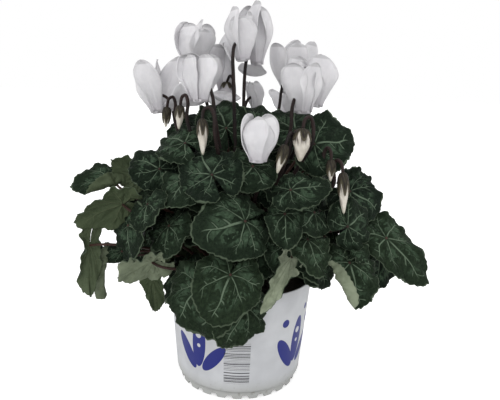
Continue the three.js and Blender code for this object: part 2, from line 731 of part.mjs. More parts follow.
function stemCurve(hook) {
  const [first] = hook;
  const azimuth = Math.atan2(first.y, first.x);
  const start = vec([7 * Math.cos(azimuth), 7 * Math.sin(azimuth), CORM_CENTRE + 6]);
  const low = start.clone().lerp(first, 0.35);
  low.z += 12;
  const high = start.clone().lerp(first, 0.7);
  high.z += 8;
  return new THREE.CatmullRomCurve3([start, low, high, ...hook]);
}

// Buds

function budFrame(bud) {
  const top = vec(bud.top);
  const axis = vec(bud.tip).sub(top);
  const length = axis.length();
  return { top, axis: axis.normalize(), length };
}

function makeBud(bud, grow) {
  const { top, axis, length } = budFrame(bud);
  const r = bud.radius + grow;
  const spindle = lathe([
    [0, -grow],
    [0.75 * r, -grow * 0.5],
    [r, 0.3 * length],
    [0.62 * r, 0.7 * length],
    [0, length + grow],
  ], 6);
  const turn = new THREE.Quaternion().setFromUnitVectors(new THREE.Vector3(0, 0, 1), axis);
  return solid(spindle.applyQuaternion(turn).translate(top.x, top.y, top.z));
}

function budStem(bud) {
  const { top, axis } = budFrame(bud);
  const a = radians(bud.side);
  const away = vec([Math.cos(a), Math.sin(a), 0]);
  const point = (up, out) => top.clone().addScaledVector(axis, -up).addScaledVector(away, out);
  return stemCurve([point(-10, 9), point(3, 8.6), point(8, 5.4), point(6.5, 1.4), point(GAP + 0.1, 0)]);
}

// The plant

function makePlant(group) {
  const blooms = BLOOMS.map((b, i) => makeBloom(b, i, 0));
  const fatBlooms = BLOOMS.map((b, i) => makeBloom(b, i, GAP));
  const buds = BUDS.map((b) => makeBud(b, 0));
  const fatBuds = BUDS.map((b) => makeBud(b, GAP));
  const flowerCurves = [...BLOOMS.map(bloomStem), ...BUDS.map(budStem)];
  const fatFlowerStems = flowerCurves.map((c) => flowerStemBody(c, GAP));
  const pot = makePot();
  const soil = makeSoil();
  const bunches = settleLeaves([...fatBlooms, ...fatBuds, pot], fatFlowerStems);

  const solids = [...bunches.map((b) => b.body), ...blooms, ...buds];
  const leafCurves = bunches.flatMap((b) => (
    b.leaves.map((l) => bestLeafStem(l.leaf, l.pose, solids))));
  const flowerStems = flowerCurves.map((c) => flowerStemBody(c, 0));
  const leafStems = leafCurves.map((c) => leafStemBody(c, 0));
  const crown = Manifold.union([cormShape(0), ...flowerStems, ...leafStems]);
  const cutters = [...fatFlowerStems, ...leafCurves.map((c) => leafStemBody(c, GAP))];
  const trim = (body) => {
    const near = cutters.filter((c) => overlap(body, c) > 0);
    return near.length ? largest(body.subtract(Manifold.union(near))) : body;
  };

  addMesh(group, 'pot', pot, MATERIALS.pot);
  addMesh(group, 'soil', soil, MATERIALS.soil);
  addMesh(group, 'crown', crown, MATERIALS.stem);
  blooms.forEach((b, i) => addMesh(group, `bloom_${i + 1}`, trim(b), MATERIALS.petal));
  buds.forEach((b, i) => addMesh(group, `bud_${i + 1}`, trim(b), MATERIALS.bud));
  bunches.forEach((b, i) => addMesh(group, `leaf_${i + 1}`, trim(b.body), MATERIALS.leaf));
}

const plant = new THREE.Group();
makePlant(plant);

export default plant;
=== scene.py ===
import math

import bmesh
import bpy
import numpy as np
from mathutils import Matrix, Vector, noise
from mathutils.kdtree import KDTree


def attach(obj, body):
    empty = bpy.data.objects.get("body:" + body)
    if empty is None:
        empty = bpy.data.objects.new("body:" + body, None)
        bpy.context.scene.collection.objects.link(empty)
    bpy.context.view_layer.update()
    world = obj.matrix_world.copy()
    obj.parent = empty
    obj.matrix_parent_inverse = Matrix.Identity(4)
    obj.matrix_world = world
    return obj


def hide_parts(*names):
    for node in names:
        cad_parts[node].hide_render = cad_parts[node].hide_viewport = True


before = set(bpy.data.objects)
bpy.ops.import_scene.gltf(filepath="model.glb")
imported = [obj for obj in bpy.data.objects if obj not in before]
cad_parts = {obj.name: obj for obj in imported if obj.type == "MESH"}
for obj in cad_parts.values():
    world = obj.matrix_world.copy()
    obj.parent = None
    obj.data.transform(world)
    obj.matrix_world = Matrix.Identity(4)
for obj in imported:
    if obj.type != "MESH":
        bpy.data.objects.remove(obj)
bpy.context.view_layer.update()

# Potted cyclamen. Pieces are shaped in millimetres and put away in metres.
MM = 0.001

# Camera, as fitted to the photograph
CAMERA_PLACE = (0, -431, 239)
CAMERA_PITCH = math.radians(11.4)
CAMERA_YAW = math.radians(0.76)
CAMERA_ROLL = math.radians(-1.93)
CAMERA_LENS = 38.09
CAMERA_NEAREST = 0.01

# Studio: light from all round, how much paler than its shade the floor looks, and round soft boxes
# with their places in metres and their power, all aimed at the middle of the plant
WORLD_LIGHT = 0.92
FLOOR_LIFT = 0.5
FLOOR_PALE = (0.9, 0.9, 0.9, 1)
FLOOR_HALF_SIZE = 40000
WHITE_LIGHT = (1, 1, 1, 1)
SOFT_BOX_SIZE = 0.9
SOFT_BOX_TARGET = (0, 0, 0.15)
SOFT_BOXES = (
    ("top_box", (-0.45, -0.9, 1.3), 4.0),
    ("front_box", (-0.2, -1.6, 0.6), 4.5),
    ("side_box", (1.1, 0.3, 1.0), 2.0),
)

# Pot
POT_HEIGHT = 90
RIM_RADIUS = 60
WALL_FOOT_RADIUS = 52.8
WALL_FOOT_HEIGHT = 9
WALL = 1.2
FOOT_RADIUS = 49.5
FOOT_WALL = 1.6
FOOT_HEIGHT = 6.2
FOOT_ROUND = 0.3
# How far the round shoulder above the foot ring stands out from it and up from it
SHOULDER = ((0.2, 0), (1.1, 0.3), (2.3, 1.1), (3.1, 2.4), (3.5, 4))
WALL_HEIGHTS = (14, 25, 40, 55, 70, 82, 89.5)
INSIDE_HEIGHTS = (89.5, 70, 40, 14)
FLOOR_TOP = FOOT_HEIGHT + WALL
FLOOR_RADIUS = WALL_FOOT_RADIUS - 3.2
NOTCH_COUNT = 24
NOTCH_WIDTH = 5
NOTCH_HEIGHT = 2.6
NOTCH_SLOPE = 0.4
# Height of the foot ring's rows above the notches
NOTCH_CLEAR = 3.6
DRAIN_COUNT = 6
DRAIN_RADIUS = 4
DRAIN_CIRCLE = 34
POT_STEPS = 384
POT_SHARP = math.radians(40)

# Generic print: sprays of blue drops round the pot, as ovals with their centre, radii and tilt, white
# dots cut out of them, and one block of plain stripes in front, by its middle, half width and heights
PRINT_TURN = math.radians(-124)
PRINT_SPAN = math.pi / 2
PRINT_RADIUS = 56
PRINT_OVALS = (
    ((-13, 36), (16, 5.6), math.radians(122)),
    ((0, 45), (20, 6.4), math.radians(86)),
    ((13, 35), (15, 5.2), math.radians(50)),
    ((19, 58), (4.2, 4.2), 0),
    ((-16, 63), (3.4, 3.4), 0),
    ((11, 70), (2.6, 2.6), 0),
)
PRINT_DOTS = (
    ((0, 53), (2.6, 2.6), 0),
    ((0, 44), (1.6, 1.6), 0),
)
STRIPE_TURN = math.radians(-91)
STRIPE_HALF = 10.5
STRIPE_FOOT = 15
STRIPE_TOP = 52
STRIPE_STEP = 1.3
STRIPE_WIDEST = 0.85
STRIPE_SOFT = 0.1

# Soil and corm
SOIL_TOP = 78
SOIL_GAP = 0.4
SOIL_RINGS = 44
SOIL_STEPS = 150
SOIL_MOUND = 2
SOIL_MOUND_RADIUS = 30
# Lumps of the soil: how high they are, and how far apart
SOIL_LUMPS = ((1.5, 9), (1.1, 3.1), (0.5, 1.3))
CORM_RADIUS = 21
CORM_HALF_HEIGHT = 12
CORM_CENTRE = 74
CORM_RINGS = 24
CORM_STEPS = 64

# Leaves, with the rules that the solids follow
BLADE = 0.8
SOLID_GRIDS = {"large": (14, 2), "small": (12, 2), "inner": (12, 1)}
LARGE = 45
SOLID_TEETH = 0.035
# Heart outline: reach of the tip, whole width, reach of the sides, how broad the point is, how much
# shorter the reach gets beside the notch, and the turn from the tip at which the notch starts
HEART_LENGTH = 0.86
HEART_WIDTH = 1.054
HEART_SIDE = 0.5
HEART_POINT = 0.8
HEART_DIP = 0.18
NOTCH_ANGLE = math.radians(172)
# Middle and spread of the edge's waves, and of the fold and droop in degrees
LEAF_WAVE = (2.2, 1.2)
LEAF_FOLD = (30, 10)
LEAF_DROOP = (30, 10)
# Points in the plant that leaves settle away from and face away from, and how far up they face
SETTLE_FROM = (0, 0, 110)
FACE_FROM = (0, 0, 150)
FACE_LIFT = (0, 0, 0.5)
SETTLE_STEP = 1.5
SETTLE_LIMIT = 6
TILTS = (0, -10, 10, -20, 20)
LEAF_STEM = 1.7
LEAF_STEM_TIP = 1.2
STEM_BOWS = (
    (0, 1), (8, 1), (-8, 1), (0, 1.3), (0, 0.75), (14, 1.2), (-14, 1.2), (14, 0.8), (-14, 0.8),
    (22, 1), (-22, 1), (0, 1.7), (0, 0.5),
)
MATCH = 0.02

# Finer leaf detail, which the solids leave out
LEAF_THICKNESS = 0.5
LEAF_STEM_SHARE = 0.82
LEAF_STEM_SIDES = 10
# Middle and spread of how light the upper side is, and how pale the under side of a light leaf is
LEAF_TONE = (0.35, 0.35)
LEAF_PALE = 0.12
LEAF_STEM_POINTS = 22
TOOTH_COUNT = 44
TOOTH_DEPTH = 0.04
OUTER_GRID = (TOOTH_COUNT * 3, 17)
INNER_GRID = (TOOTH_COUNT * 2, 11)
VEIN_COUNT = 7
VEIN_WIDTH = 0.023
VEIN_TIP_WIDTH = 0.013
# Side veins of each vein: where they leave it, how slowly they part from it, how far they get from
# it, and whether they come on both sides
SIDE_VEINS = ((0.40, 0.95, 0.15, False), (0.64, 0.70, 0.17, True))
SIDE_VEIN_SHIFT = 0.05
SIDE_VEIN_SHARE = 0.8
# How fast the side veins' places change from vein to vein, and from tone to tone
VEIN_CHANGE = 2.4
TONE_CHANGE = 9
QUILT = 1.7
QUILT_WIDTH = 1.8

# Spare leaves: how many places are tried, how far they keep from others, how far their tips swing aside
# in radians, and the middle and spread of their ring in the plant, their length and the share of it
# that they drop
SPARE_TRIES = 900
SPARE_CLEAR = 3.4
SPARE_SWING = 0.7
SPARE_RADIUS = (44, 20)
SPARE_HEIGHT = (146, 40)
SPARE_LENGTH = (27, 5)
SPARE_DROP = (0.35, 0.3)
SPARE_WIDTH = 38
GOLDEN_TURN = 2.39996
BACK_WIDTH = 50

# Flowers, with the rules that the solids follow
PETAL_COUNT = 5
CUP_HEIGHT = 7
LIP_RADIUS = 7.8
STEM_SIDE = math.radians(12.5)
PETAL_SPAN = math.radians(67)
PETAL_WIDEST = 0.62
# Hook of a flower's stem: out to its side and up from the mouth
HOOK = ((13, -12), (11.5, 3), (8.4, 11), (3.6, 13.4))

# Finer flower detail
PETAL_THICKNESS = 0.4
PETAL_ROOT_RADIUS = 5.3
FINE_HALF_ROOT = 5
FINE_HALF_WIDTH = 12.4
FINE_BELLY = 0.6
FINE_LEAN = -2.5
FALLEN_LEAN = 45
CALYX_THICKNESS = 0.5
FLOWER_STEM = 1.6
FLOWER_STEM_TIP = 1.15
FLOWER_STEM_SIDES = 12
# Columns and rows of the sheets
TUBE_GRID = (40, 18)
PETAL_GRID = (16, 22)
CALYX_GRID = (50, 10)
BUD_GRID = (40, 30)
FLOWER_STEM_POINTS = 57
# Corolla tube: radius and height from its closed top down to the mouth and over its lip
TUBE_PROFILE = ((0, 7.1), (2.0, 7.0), (3.4, 6.0), (4.0, 3.4), (4.3, 0.8), (4.5, -0.3), (4.9, -0.8),
                (5.3, -0.6), (5.6, 0.2), (5.7, 1.4))
# Calyx lobes lie on the tube: radius and height from the stem down
LOBE_PATH = ((0.6, 8.0), (2.5, 7.9), (3.9, 6.7), (4.6, 4.6), (5.0, 2.6))

# Buds: share of the widest radius at shares of the length, and the hook of the stem, up and out
BUD_SHARES = (0, 0.04, 0.12, 0.3, 0.5, 0.7, 0.88, 0.97, 1)
BUD_RADII = (0, 0.55, 0.82, 1.0, 0.93, 0.68, 0.38, 0.2, 0)
BUD_HOOK = ((-10, 9), (3, 8.6), (8, 5.4), (6.5, 1.4), (-0.5, 0))
BUD_CALYX_THICKNESS = 0.4

# Colours of the leaves' upper side and under side
LEAF_DARK = (0.0075, 0.0140, 0.0090)
LEAF_LIGHT = (0.0210, 0.0350, 0.0180)
LEAF_SHADE = (0.0030, 0.0060, 0.0040)
LEAF_PATCH = (0.060, 0.098, 0.060)
LEAF_GLOW = (0.035, 0.060, 0.035)
LEAF_VEIN = (0.150, 0.205, 0.140)
LEAF_EDGE = (0.110, 0.145, 0.095)
UNDER_OLIVE = (0.046, 0.066, 0.030)
UNDER_PALE = (0.360, 0.405, 0.295)
UNDER_SHADE = (0.030, 0.046, 0.020)
UNDER_FLECK = (0.10, 0.12, 0.07)
UNDER_VEIN = (0.13, 0.155, 0.085)

# Colours of the petals, the calyces and the buds
PETAL_WHITE = (0.66, 0.65, 0.665)
PETAL_SOFT = (0.54, 0.535, 0.555)
# Painted shade: the greyer band at the thin, see-through rims of the petals
PETAL_RIM_SHADE = (0.43, 0.425, 0.435)
# A faint lilac tint at the petals' roots, with painted shade deeper in the throat
PETAL_THROAT_TINT_AND_SHADE = (0.42, 0.39, 0.43)
PETAL_LINE = (0.47, 0.46, 0.49)
CALYX_DARK = (0.014, 0.010, 0.009)
CALYX_BROWN = (0.045, 0.040, 0.024)
CALYX_TIP = (0.16, 0.14, 0.09)
BUD_CREAM = (0.67, 0.63, 0.56)
BUD_SOFT = (0.54, 0.50, 0.43)
BUD_TIP = (0.36, 0.36, 0.22)
BUD_STREAK = (0.055, 0.038, 0.034)

# Dark and light colour of the flower stems, the leaf stems and the corm
FLOWER_STALK = ((0.008, 0.006, 0.006), (0.028, 0.015, 0.013))
LEAF_STALK = ((0.022, 0.011, 0.009), (0.075, 0.038, 0.028))
CORM_SKIN = ((0.030, 0.020, 0.014), (0.085, 0.058, 0.040))

# Colours of the peat and the pot
PEAT_DARK = (0.012, 0.009, 0.007)
PEAT_BROWN = (0.055, 0.040, 0.029)
PEAT_WET = (0.018, 0.014, 0.011)
POT_WHITE = (0.58, 0.59, 0.61)
POT_SHADE = (0.50, 0.51, 0.53)
# Darker towards the bottom of the pot
POT_LOWER_GREY = (0.37, 0.375, 0.35)
POT_SPECK = (0.20, 0.19, 0.15)
# Painted shadow: a dark line in the groove between the pot's wall and its foot ring
POT_GROOVE_SHADOW = (0.16, 0.16, 0.15)
PRINT_BLUE = (0.016, 0.023, 0.185)
STRIPE_GREY = (0.025, 0.026, 0.030)
POT_INSIDE_DARK = (0.012, 0.013, 0.014)
POT_INSIDE_LIGHT = (0.022, 0.022, 0.022)

# Leaves seen from the front: stem end, tip and width. Where they matter: the fold in degrees, the way
# the upper side faces, and whether the leaf lies behind others. The finer blade turns on its stem end:
# reach is its tip, look the way it faces, slim a factor on its width, curl its fold, shift a small move
# with its stem, tone and pale the tones of its sides, and roll the turn, start, radius and angle of a roll.
FRONT_LEAVES = (
    dict(at=(-7, -92, 119), tip=(-19, -108, 89), width=48, tone=1.0),
    dict(at=(2, -82, 154), tip=(-32, -98, 145), width=52, face=(0, -8, 4)),
    dict(at=(-22, -66, 182), tip=(-41, -34, 206), width=46, face=(-1, -8, 6)),
    dict(at=(-28, -82, 107), tip=(-18, -94, 72), width=56, tone=0.9, slim=1.06),
    dict(at=(51, -48, 206), tip=(82, -44, 201), width=46, face=(2, -8, 6), reach=(80, -46, 210),
         slim=1.12),
    dict(at=(32, -78, 176), tip=(60, -78, 179), width=46, face=(0, -5, 8), slim=0.78),
    dict(at=(77, -42, 168), tip=(104, -40, 161), width=44, reach=(102, -42, 153), look=(2, -8, 5),
         shift=(3, 0, 2), slim=1.1),
    dict(at=(107, -50, 130), tip=(138, -50, 114), width=52, face=(4, -8, 5), reach=(140, -52, 102),
         shift=(1, 0, 6.5), slim=0.76, tone=0.9),
    dict(at=(74, -70, 121), tip=(82, -84, 93), width=46, fold=50, reach=(82, -86, 94), look=(1, -8, 2),
         shift=(4, 0, 2), slim=0.92, pale=0.6, tone=0.8, roll=(-66, 0.36, 2.5, 165)),
    dict(at=(29, -78, 159), tip=(30, -92, 137), width=32, fold=70, look=(0, -8, 3), curl=35, slim=0.85),
    dict(at=(46, -76, 141), tip=(54, -92, 125), width=42, reach=(52, -94, 119), slim=0.8, tone=0.9),
    dict(at=(-40, -58, 179), tip=(-57, -74, 166), width=46),
    dict(at=(-85, -50, 140), tip=(-76, -66, 117), width=44),
    dict(at=(-103, 0, 171), tip=(-138, -2, 165), width=48, fold=80, face=(-2, 8, 5), reach=(-141, -6, 162),
         shift=(-3, 0, -6), look=(-2, -7, 6), curl=40, slim=0.8, pale=0.1, tone=0.7, roll=(105, 0.1, 3, 165)),
    dict(at=(-93, -34, 152), tip=(-128, -40, 136), width=50, fold=50, face=(-3, 8, 5), reach=(-126, -40, 136),
         shift=(1, 0, 1), slim=0.8, pale=0.05),
    dict(at=(-114, -26, 115), tip=(-125, -36, 80), width=40, fold=170, face=(-6, 7, 0),
         reach=(-119, -36, 76), shift=(-5, 0, 2), look=(-5, 8, 3), curl=110, slim=0.5, pale=0.1),
    dict(at=(-113, -16, 100), tip=(-116, -22, 70), width=34, fold=140, face=(-6, -5, 2), curl=60, slim=0.85,
         reach=(-109, -22, 72), look=(-2, -8, 2), pale=0.3, tone=0.3, roll=(75, 0.1, 2, 165)),
    dict(at=(-61, -60, 114), tip=(-91, -56, 103), width=36, fold=60, face=(0, 7, 5), reach=(-91, -56, 100),
         shift=(-4, 0, 2), slim=0.92, pale=0.42),
    dict(at=(-74, -34, 95), tip=(-69, -38, 70), width=34, fold=60, reach=(-66, -38, 67), look=(-2, 8, 3),
         shift=(5, 0, -2), slim=0.52, pale=0.05),
    dict(at=(36, -66, 124), tip=(13, -86, 88), width=32, fold=110, face=(3, 7, 4), pale=1, slim=0.58),
    dict(at=(108, -36, 116), tip=(104, -48, 88), width=44, face=(3, -8, 3), reach=(102, -48, 95), slim=0.8),
    dict(at=(5, -78, 91), tip=(-14, -93, 68), width=40, inner=True, tone=1.0),
    dict(at=(-90, -6, 173), tip=(-105, -10, 183), width=34, face=(-2, 6, 6), reach=(-106, -10, 184)),
    dict(at=(-64, -34, 181), tip=(-86, -24, 186), width=42, face=(-3, -5, 7), reach=(-86, -22, 188)),
    dict(at=(-41, -34, 194), tip=(-62, -12, 204), width=44, face=(-2, -5, 7)),
    dict(at=(-15, -14, 212), tip=(-27, 14, 228), width=44, face=(0, -5, 8)),
    dict(at=(13, -4, 218), tip=(3, 30, 232), width=46, face=(0, -5, 8)),
    dict(at=(39, -16, 212), tip=(37, 16, 228), width=44, face=(1, -5, 8)),
    dict(at=(66, -20, 198), tip=(86, -2, 213), width=44, face=(3, -6, 7), reach=(74, -4, 212), slim=0.8),
    dict(at=(6, -62, 188), tip=(-4, -74, 174), width=40, inner=True),
    dict(at=(-67, -56, 157), tip=(-67, -72, 141), width=38, inner=True),
    dict(at=(49, -66, 157), tip=(38, -80, 147), width=36, inner=True),
    dict(at=(69, -60, 145), tip=(89, -52, 156), width=40, inner=True),
    dict(at=(84, -56, 128), tip=(93, -62, 121), width=34, inner=True),
    dict(at=(-53, -62, 144), tip=(-58, -78, 126), width=40, inner=True),
    dict(at=(56, -62, 122), tip=(57, -70, 102), width=36, inner=True, reach=(62, -70, 102), slim=1.1),
    dict(at=(-45, -46, 150), tip=(-58, -60, 120), width=46, inner=True),
    dict(at=(-62, -20, 173), tip=(-77, -40, 142), width=44, face=(-6, -5, 4), inner=True),
    dict(at=(-76, 8, 182), tip=(-92, 0, 170), width=40, face=(-3, 4, 8), inner=True),
    dict(at=(30, -62, 132), tip=(30, -72, 112), width=36, inner=True),
)

# Leaves behind those, which the solids leave out
HIDDEN_LEAVES = (
    dict(at=(-50, 2, 196), tip=(-58, 14, 215), width=32, face=(-2, -6, 6)),
    dict(at=(-36, 6, 204), tip=(-42, 22, 224), width=40, face=(-1, -6, 6)),
    dict(at=(-20, 12, 208), tip=(-12, 28, 226), width=38, face=(0, -6, 6)),
    dict(at=(-70, -14, 142), tip=(-80, -30, 116), width=40),
    dict(at=(-80, -8, 152), tip=(-92, -22, 132), width=36),
    dict(at=(-60, -30, 124), tip=(-70, -42, 100), width=36),
    dict(at=(52, -14, 184), tip=(72, -24, 168), width=38),
    dict(at=(64, -18, 160), tip=(82, -28, 140), width=40),
    dict(at=(70, -20, 136), tip=(86, -30, 112), width=40),
    dict(at=(88, -22, 136), tip=(104, -32, 114), width=38),
    dict(at=(50, -40, 116), tip=(60, -50, 95), width=34),
    dict(at=(-84, 14, 158), tip=(-92, 8, 134), width=32, face=(-2, -8, 2)),
    dict(at=(-64, 12, 150), tip=(-69, 6, 124), width=34, face=(-1, -8, 2)),
    dict(at=(-74, 4, 130), tip=(-80, 0, 106), width=32, face=(-1, -8, 2)),
    dict(at=(-84, 2, 110), tip=(-88, -2, 88), width=26, face=(-1, -8, 2)),
    dict(at=(36, 26, 188), tip=(42, 20, 160), width=38, face=(0, -8, 2)),
    dict(at=(58, 22, 182), tip=(64, 16, 156), width=36, face=(1, -8, 2)),
    dict(at=(4, 30, 170), tip=(10, 26, 142), width=36, face=(0, -8, 2)),
    dict(at=(68, 14, 148), tip=(75, 8, 124), width=34, face=(1, -8, 2)),
    dict(at=(66, 8, 124), tip=(73, 2, 100), width=32, face=(1, -8, 2)),
    dict(at=(99, -22, 136), tip=(110, -28, 114), width=30, face=(3, -8, 3)),
    dict(at=(-97, -18, 110), tip=(-112, -22, 103), width=15, face=(-1, -8, 3)),
    dict(at=(-44, -50, 108), tip=(-52, -62, 84), width=34),
)

# Rings of leaves round the back
BACK_TIERS = (
    dict(count=5, start=22, end=158, radius=84, height=112, drop=26, length=38),
    dict(count=5, start=12, end=168, radius=74, height=158, drop=14, length=38),
    dict(count=5, start=25, end=155, radius=40, height=192, drop=2, length=36),
)

# Flowers: middle of the mouth and of the petal tips, compass angle of the stem, and lean, belly and
# twist of the petals. Where they matter: a factor on the petals' width, a small move, the angle of the
# finer stem, a turn round the flower's own axis, how far the tips swing at most, a sway to one side,
# factors on the petals' length and on the whole flower, the depth of a frill, and for single petals
# their own lean, swing, twist and length factor.
BLOOMS = (
    dict(mouth=(-73, 20, 221), top=(-79, 20, 259), side=20, lean=18, belly=3, twist=30, sway=4,
         petals={0: (20, -8, 0, 1.18), 1: (0, -10, -50, 1.08), 2: (10.5, 0, -22, 1), 3: (15, -9, 30, 1.1),
                 4: (62, 0, 70, 0.9)}),
    dict(mouth=(-44, 16, 258), top=(-46, 16, 292), side=60, lean=11, belly=3, twist=30, sway=3,
         petals={0: (4, -8, 95, 1.14), 1: (0, 0, 35, 1.05), 2: (6, 0, 10, 1), 3: (10, 0, 0, 0.85),
                 4: (5, 0, 47, 1)}),
    dict(mouth=(-35, -22, 232), top=(-37, -22, 266), side=330, lean=10, belly=2, twist=32,
         petals={0: (1, 0, 75, 0.98), 2: (2, 0, 20, 1), 3: (1, 0, -2, 0.98), 4: (10, 3, 66, 0.98)}),
    dict(mouth=(-18, 44, 240), top=(-16, 44, 272), side=350, lean=14, belly=2, twist=30, sway=3, stem=310,
         petals={0: (-14, 8, 30, 1.3), 1: (2, 3, 78, 1.6), 2: (8, 0, 30, 1.2), 3: (118, 16, 0, 0.75),
                 4: (122, -24, 20, 0.42)}),
    dict(mouth=(-3, -12, 265), top=(-7, -12, 300), side=262, lean=4, belly=4.3, twist=34, size=1.2, stem=234,
         scale=0.7, shift=(-1, 0, -1.5),
         petals={0: (2, -12, 54, 1.26), 1: (4, 0, 34, 1.43), 2: (8, 0, 34, 1.4), 3: (2, -7, -40, 1.56),
                 4: (4, 6, 5, 1.57)}),
    dict(mouth=(13, 19, 264), top=(13, 19, 309), side=265, lean=6, belly=7.3, twist=20, size=1.4, stem=220,
         scale=0.68, shift=(-5, 0, -1.5),
         petals={0: (-6, -3, 20, 1.47), 1: (-3, 0, 20, 1.47), 2: (104, 20, -26, 0.78), 3: (4, 0, 20, 1.51),
                 4: (5, 8, 8, 1.6)}),
    dict(mouth=(13, 62, 222), top=(14, 62, 254), side=200, lean=6, belly=2, twist=30, size=0.7, swing=2,
         sway=-5, frill=3, scale=0.52, stretch=1.65, shift=(-3.5, 0, 0.5)),
    dict(mouth=(39, 47, 240), top=(40, 47, 283), side=240, lean=15, belly=3, twist=25, sway=-5, stem=222,
         petals={0: (6, 4, 30, 0.95), 1: (14, 0, 40, 1.05), 2: (20, -10, 30, 1.1), 3: (5, -22, 0, 1.09),
                 4: (5, 0, -28, 0.95)}),
    dict(mouth=(57, 12, 230), top=(61, 12, 266), side=250, lean=10, belly=3, twist=30, sway=-5,
         shift=(-1.5, 0, 0.5),
         petals={0: (3, 0, 30, 1.13), 1: (0, 0, 30, 1.07), 2: (5, 0, 30, 1.07), 3: (8, 0, 30, 1.07),
                 4: (2, 0, 60, 0.95)}),
    dict(mouth=(41, -23, 226), top=(39, -23, 262), side=215, lean=8, belly=4, twist=20, turn=-33,
         shift=(3, 0, 0),
         petals={0: (6, 0, -4, 1), 1: (5, 2, -20, 0.98), 2: (-4, 0, 0, 0.95), 3: (4, 0, 30, 0.95),
                 4: (0, 0, 20, 0.95)}),
    dict(mouth=(46, 76, 216), top=(48, 76, 246), side=120, lean=11, belly=3, twist=25, size=0.9,
         petals={0: (30, 0, 25, 1), 1: (18, 0, 25, 1)}),
    dict(mouth=(9, -70, 192), top=(10, -70, 226), side=75, lean=-2, belly=10, twist=26, size=0.84, swing=3,
         scale=0.88, shift=(-0.5, 0, 1.5),
         petals={0: (-8, 0, -40, 0.88), 1: (-6, 0, 40, 1.02), 2: (-6, 0.5, 10, 0.97), 3: (-11, 4, 30, 1.04),
                 4: (-6, 0, 20, 0.9)}),
)

# Buds: calyx end, point, widest radius, compass angle of the stem, and where they matter the one of
# the finer stem's hook, the share of the bud that the finer calyx covers, and how slim the bud is
BUDS = (
    dict(top=(-31, -48, 220), tip=(-30, -50, 194), radius=3.6, side=350),
    dict(top=(-50, -22, 228), tip=(-51, -22, 210), radius=3.2, side=200, hook=335, cover=0.2),
    dict(top=(-63, -2, 226), tip=(-64, -2, 210), radius=3, side=160, hook=10, cover=0.5),
    dict(top=(40, -60, 216), tip=(39, -62, 193), radius=5.4, side=30, cover=0.06, slim=1.12),
    dict(top=(28, -66, 205), tip=(23, -68, 185), radius=3.2, side=60, cover=0.36),
    dict(top=(69, -66, 187), tip=(71, -69, 158), radius=4.2, side=130, cover=0.24, slim=0.84),
    dict(top=(61, -62, 195), tip=(61, -64, 180), radius=2.8, side=120, cover=0.45),
)


def jitter(i, j):
    """A draw from -1 to 1 that never changes: the j-th one of the i-th thing."""
    x = np.sin(i * 12.9898 + j * 78.233) * 43758.5453
    return 2 * (x - np.floor(x)) - 1


def varied(middle_and_spread, i, j):
    """A value drawn round its middle."""
    middle, spread = middle_and_spread
    return middle + spread * jitter(i, j)


def unit(v):
    v = np.asarray(v, float)
    return v / np.linalg.norm(v)


def level(a):
    """The level direction at compass angle a."""
    return np.array([math.cos(a), math.sin(a), 0])


def round_points(r, a, h):
    return np.stack([r * np.cos(a), r * np.sin(a), h], axis=-1)


def smooth(low, high, x):
    """A smooth step from 0 at low to 1 at high, which may also be the smaller of the two."""
    t = np.clip((np.asarray(x, float) - low) / (high - low), 0, 1)
    return t * t * (3 - 2 * t)


# Shader nodes

def feed(tree, socket, value):
    if isinstance(value, bpy.types.NodeSocket):
        tree.links.new(value, socket)
    else:
        socket.default_value = value


def maths(tree, operation, *values, clamp=False):
    made = tree.nodes.new("ShaderNodeMath")
    made.operation = operation
    made.use_clamp = clamp
    for socket, value in zip(made.inputs, values):
        feed(tree, socket, value)
    return made.outputs[0]


def plus(tree, first, second):
    return maths(tree, "ADD", first, second)


def minus(tree, first, second, clamp=False):
    return maths(tree, "SUBTRACT", first, second, clamp=clamp)


def times(tree, first, second):
    return maths(tree, "MULTIPLY", first, second)


def over(tree, first, second):
    return maths(tree, "DIVIDE", first, second)


def size_of(tree, value):
    return maths(tree, "ABSOLUTE", value)


def ramp(tree, value, low, high, start=0, end=1):
    """A smooth step from start to end as value goes from low to high."""
    made = tree.nodes.new("ShaderNodeMapRange")
    made.interpolation_type = "SMOOTHSTEP"
    for name, number in (("Value", value), ("From Min", low), ("From Max", high),
                         ("To Min", start), ("To Max", end)):
        feed(tree, made.inputs[name], number)
    return made.outputs["Result"]


def blend(tree, share, first, second):
    made = tree.nodes.new("ShaderNodeMix")
    made.data_type = "RGBA"
    feed(tree, made.inputs[0], share)
    for socket, value in ((made.inputs[6], first), (made.inputs[7], second)):
        if isinstance(value, tuple):
            value = (*value, 1)
        feed(tree, socket, value)
    return made.outputs[2]


def coated(tree, colour, *coats):
    """A colour with coats over it, each as strong as its mask times its strength."""
    for mask, strength, coat in coats:
        colour = blend(tree, times(tree, mask, strength), colour, coat)
    return colour


def cloud(tree, place, scale, detail, rough=0.5):
    made = tree.nodes.new("ShaderNodeTexNoise")
    feed(tree, made.inputs["Vector"], place)
    made.inputs["Scale"].default_value = scale
    made.inputs["Detail"].default_value = detail
    made.inputs["Roughness"].default_value = rough
    return made.outputs["Fac"]


def parts_of(tree, place):
    made = tree.nodes.new("ShaderNodeSeparateXYZ")
    feed(tree, made.inputs[0], place)
    return made.outputs


def object_place(tree):
    return tree.nodes.new("ShaderNodeTexCoord").outputs["Object"]


def own_map(tree, name):
    made = tree.nodes.new("ShaderNodeUVMap")
    made.uv_map = name
    return made.outputs["UV"]


def own_value(tree, name):
    made = tree.nodes.new("ShaderNodeAttribute")
    made.attribute_name = name
    return made.outputs["Fac"]


def streaks(tree, across, along, detail):
    """Fine lines along a petal, from its map."""
    made = tree.nodes.new("ShaderNodeMapping")
    feed(tree, made.inputs["Vector"], own_map(tree, "petal"))
    made.inputs["Scale"].default_value = (across, along, 1)
    return cloud(tree, made.outputs["Vector"], 1, detail)


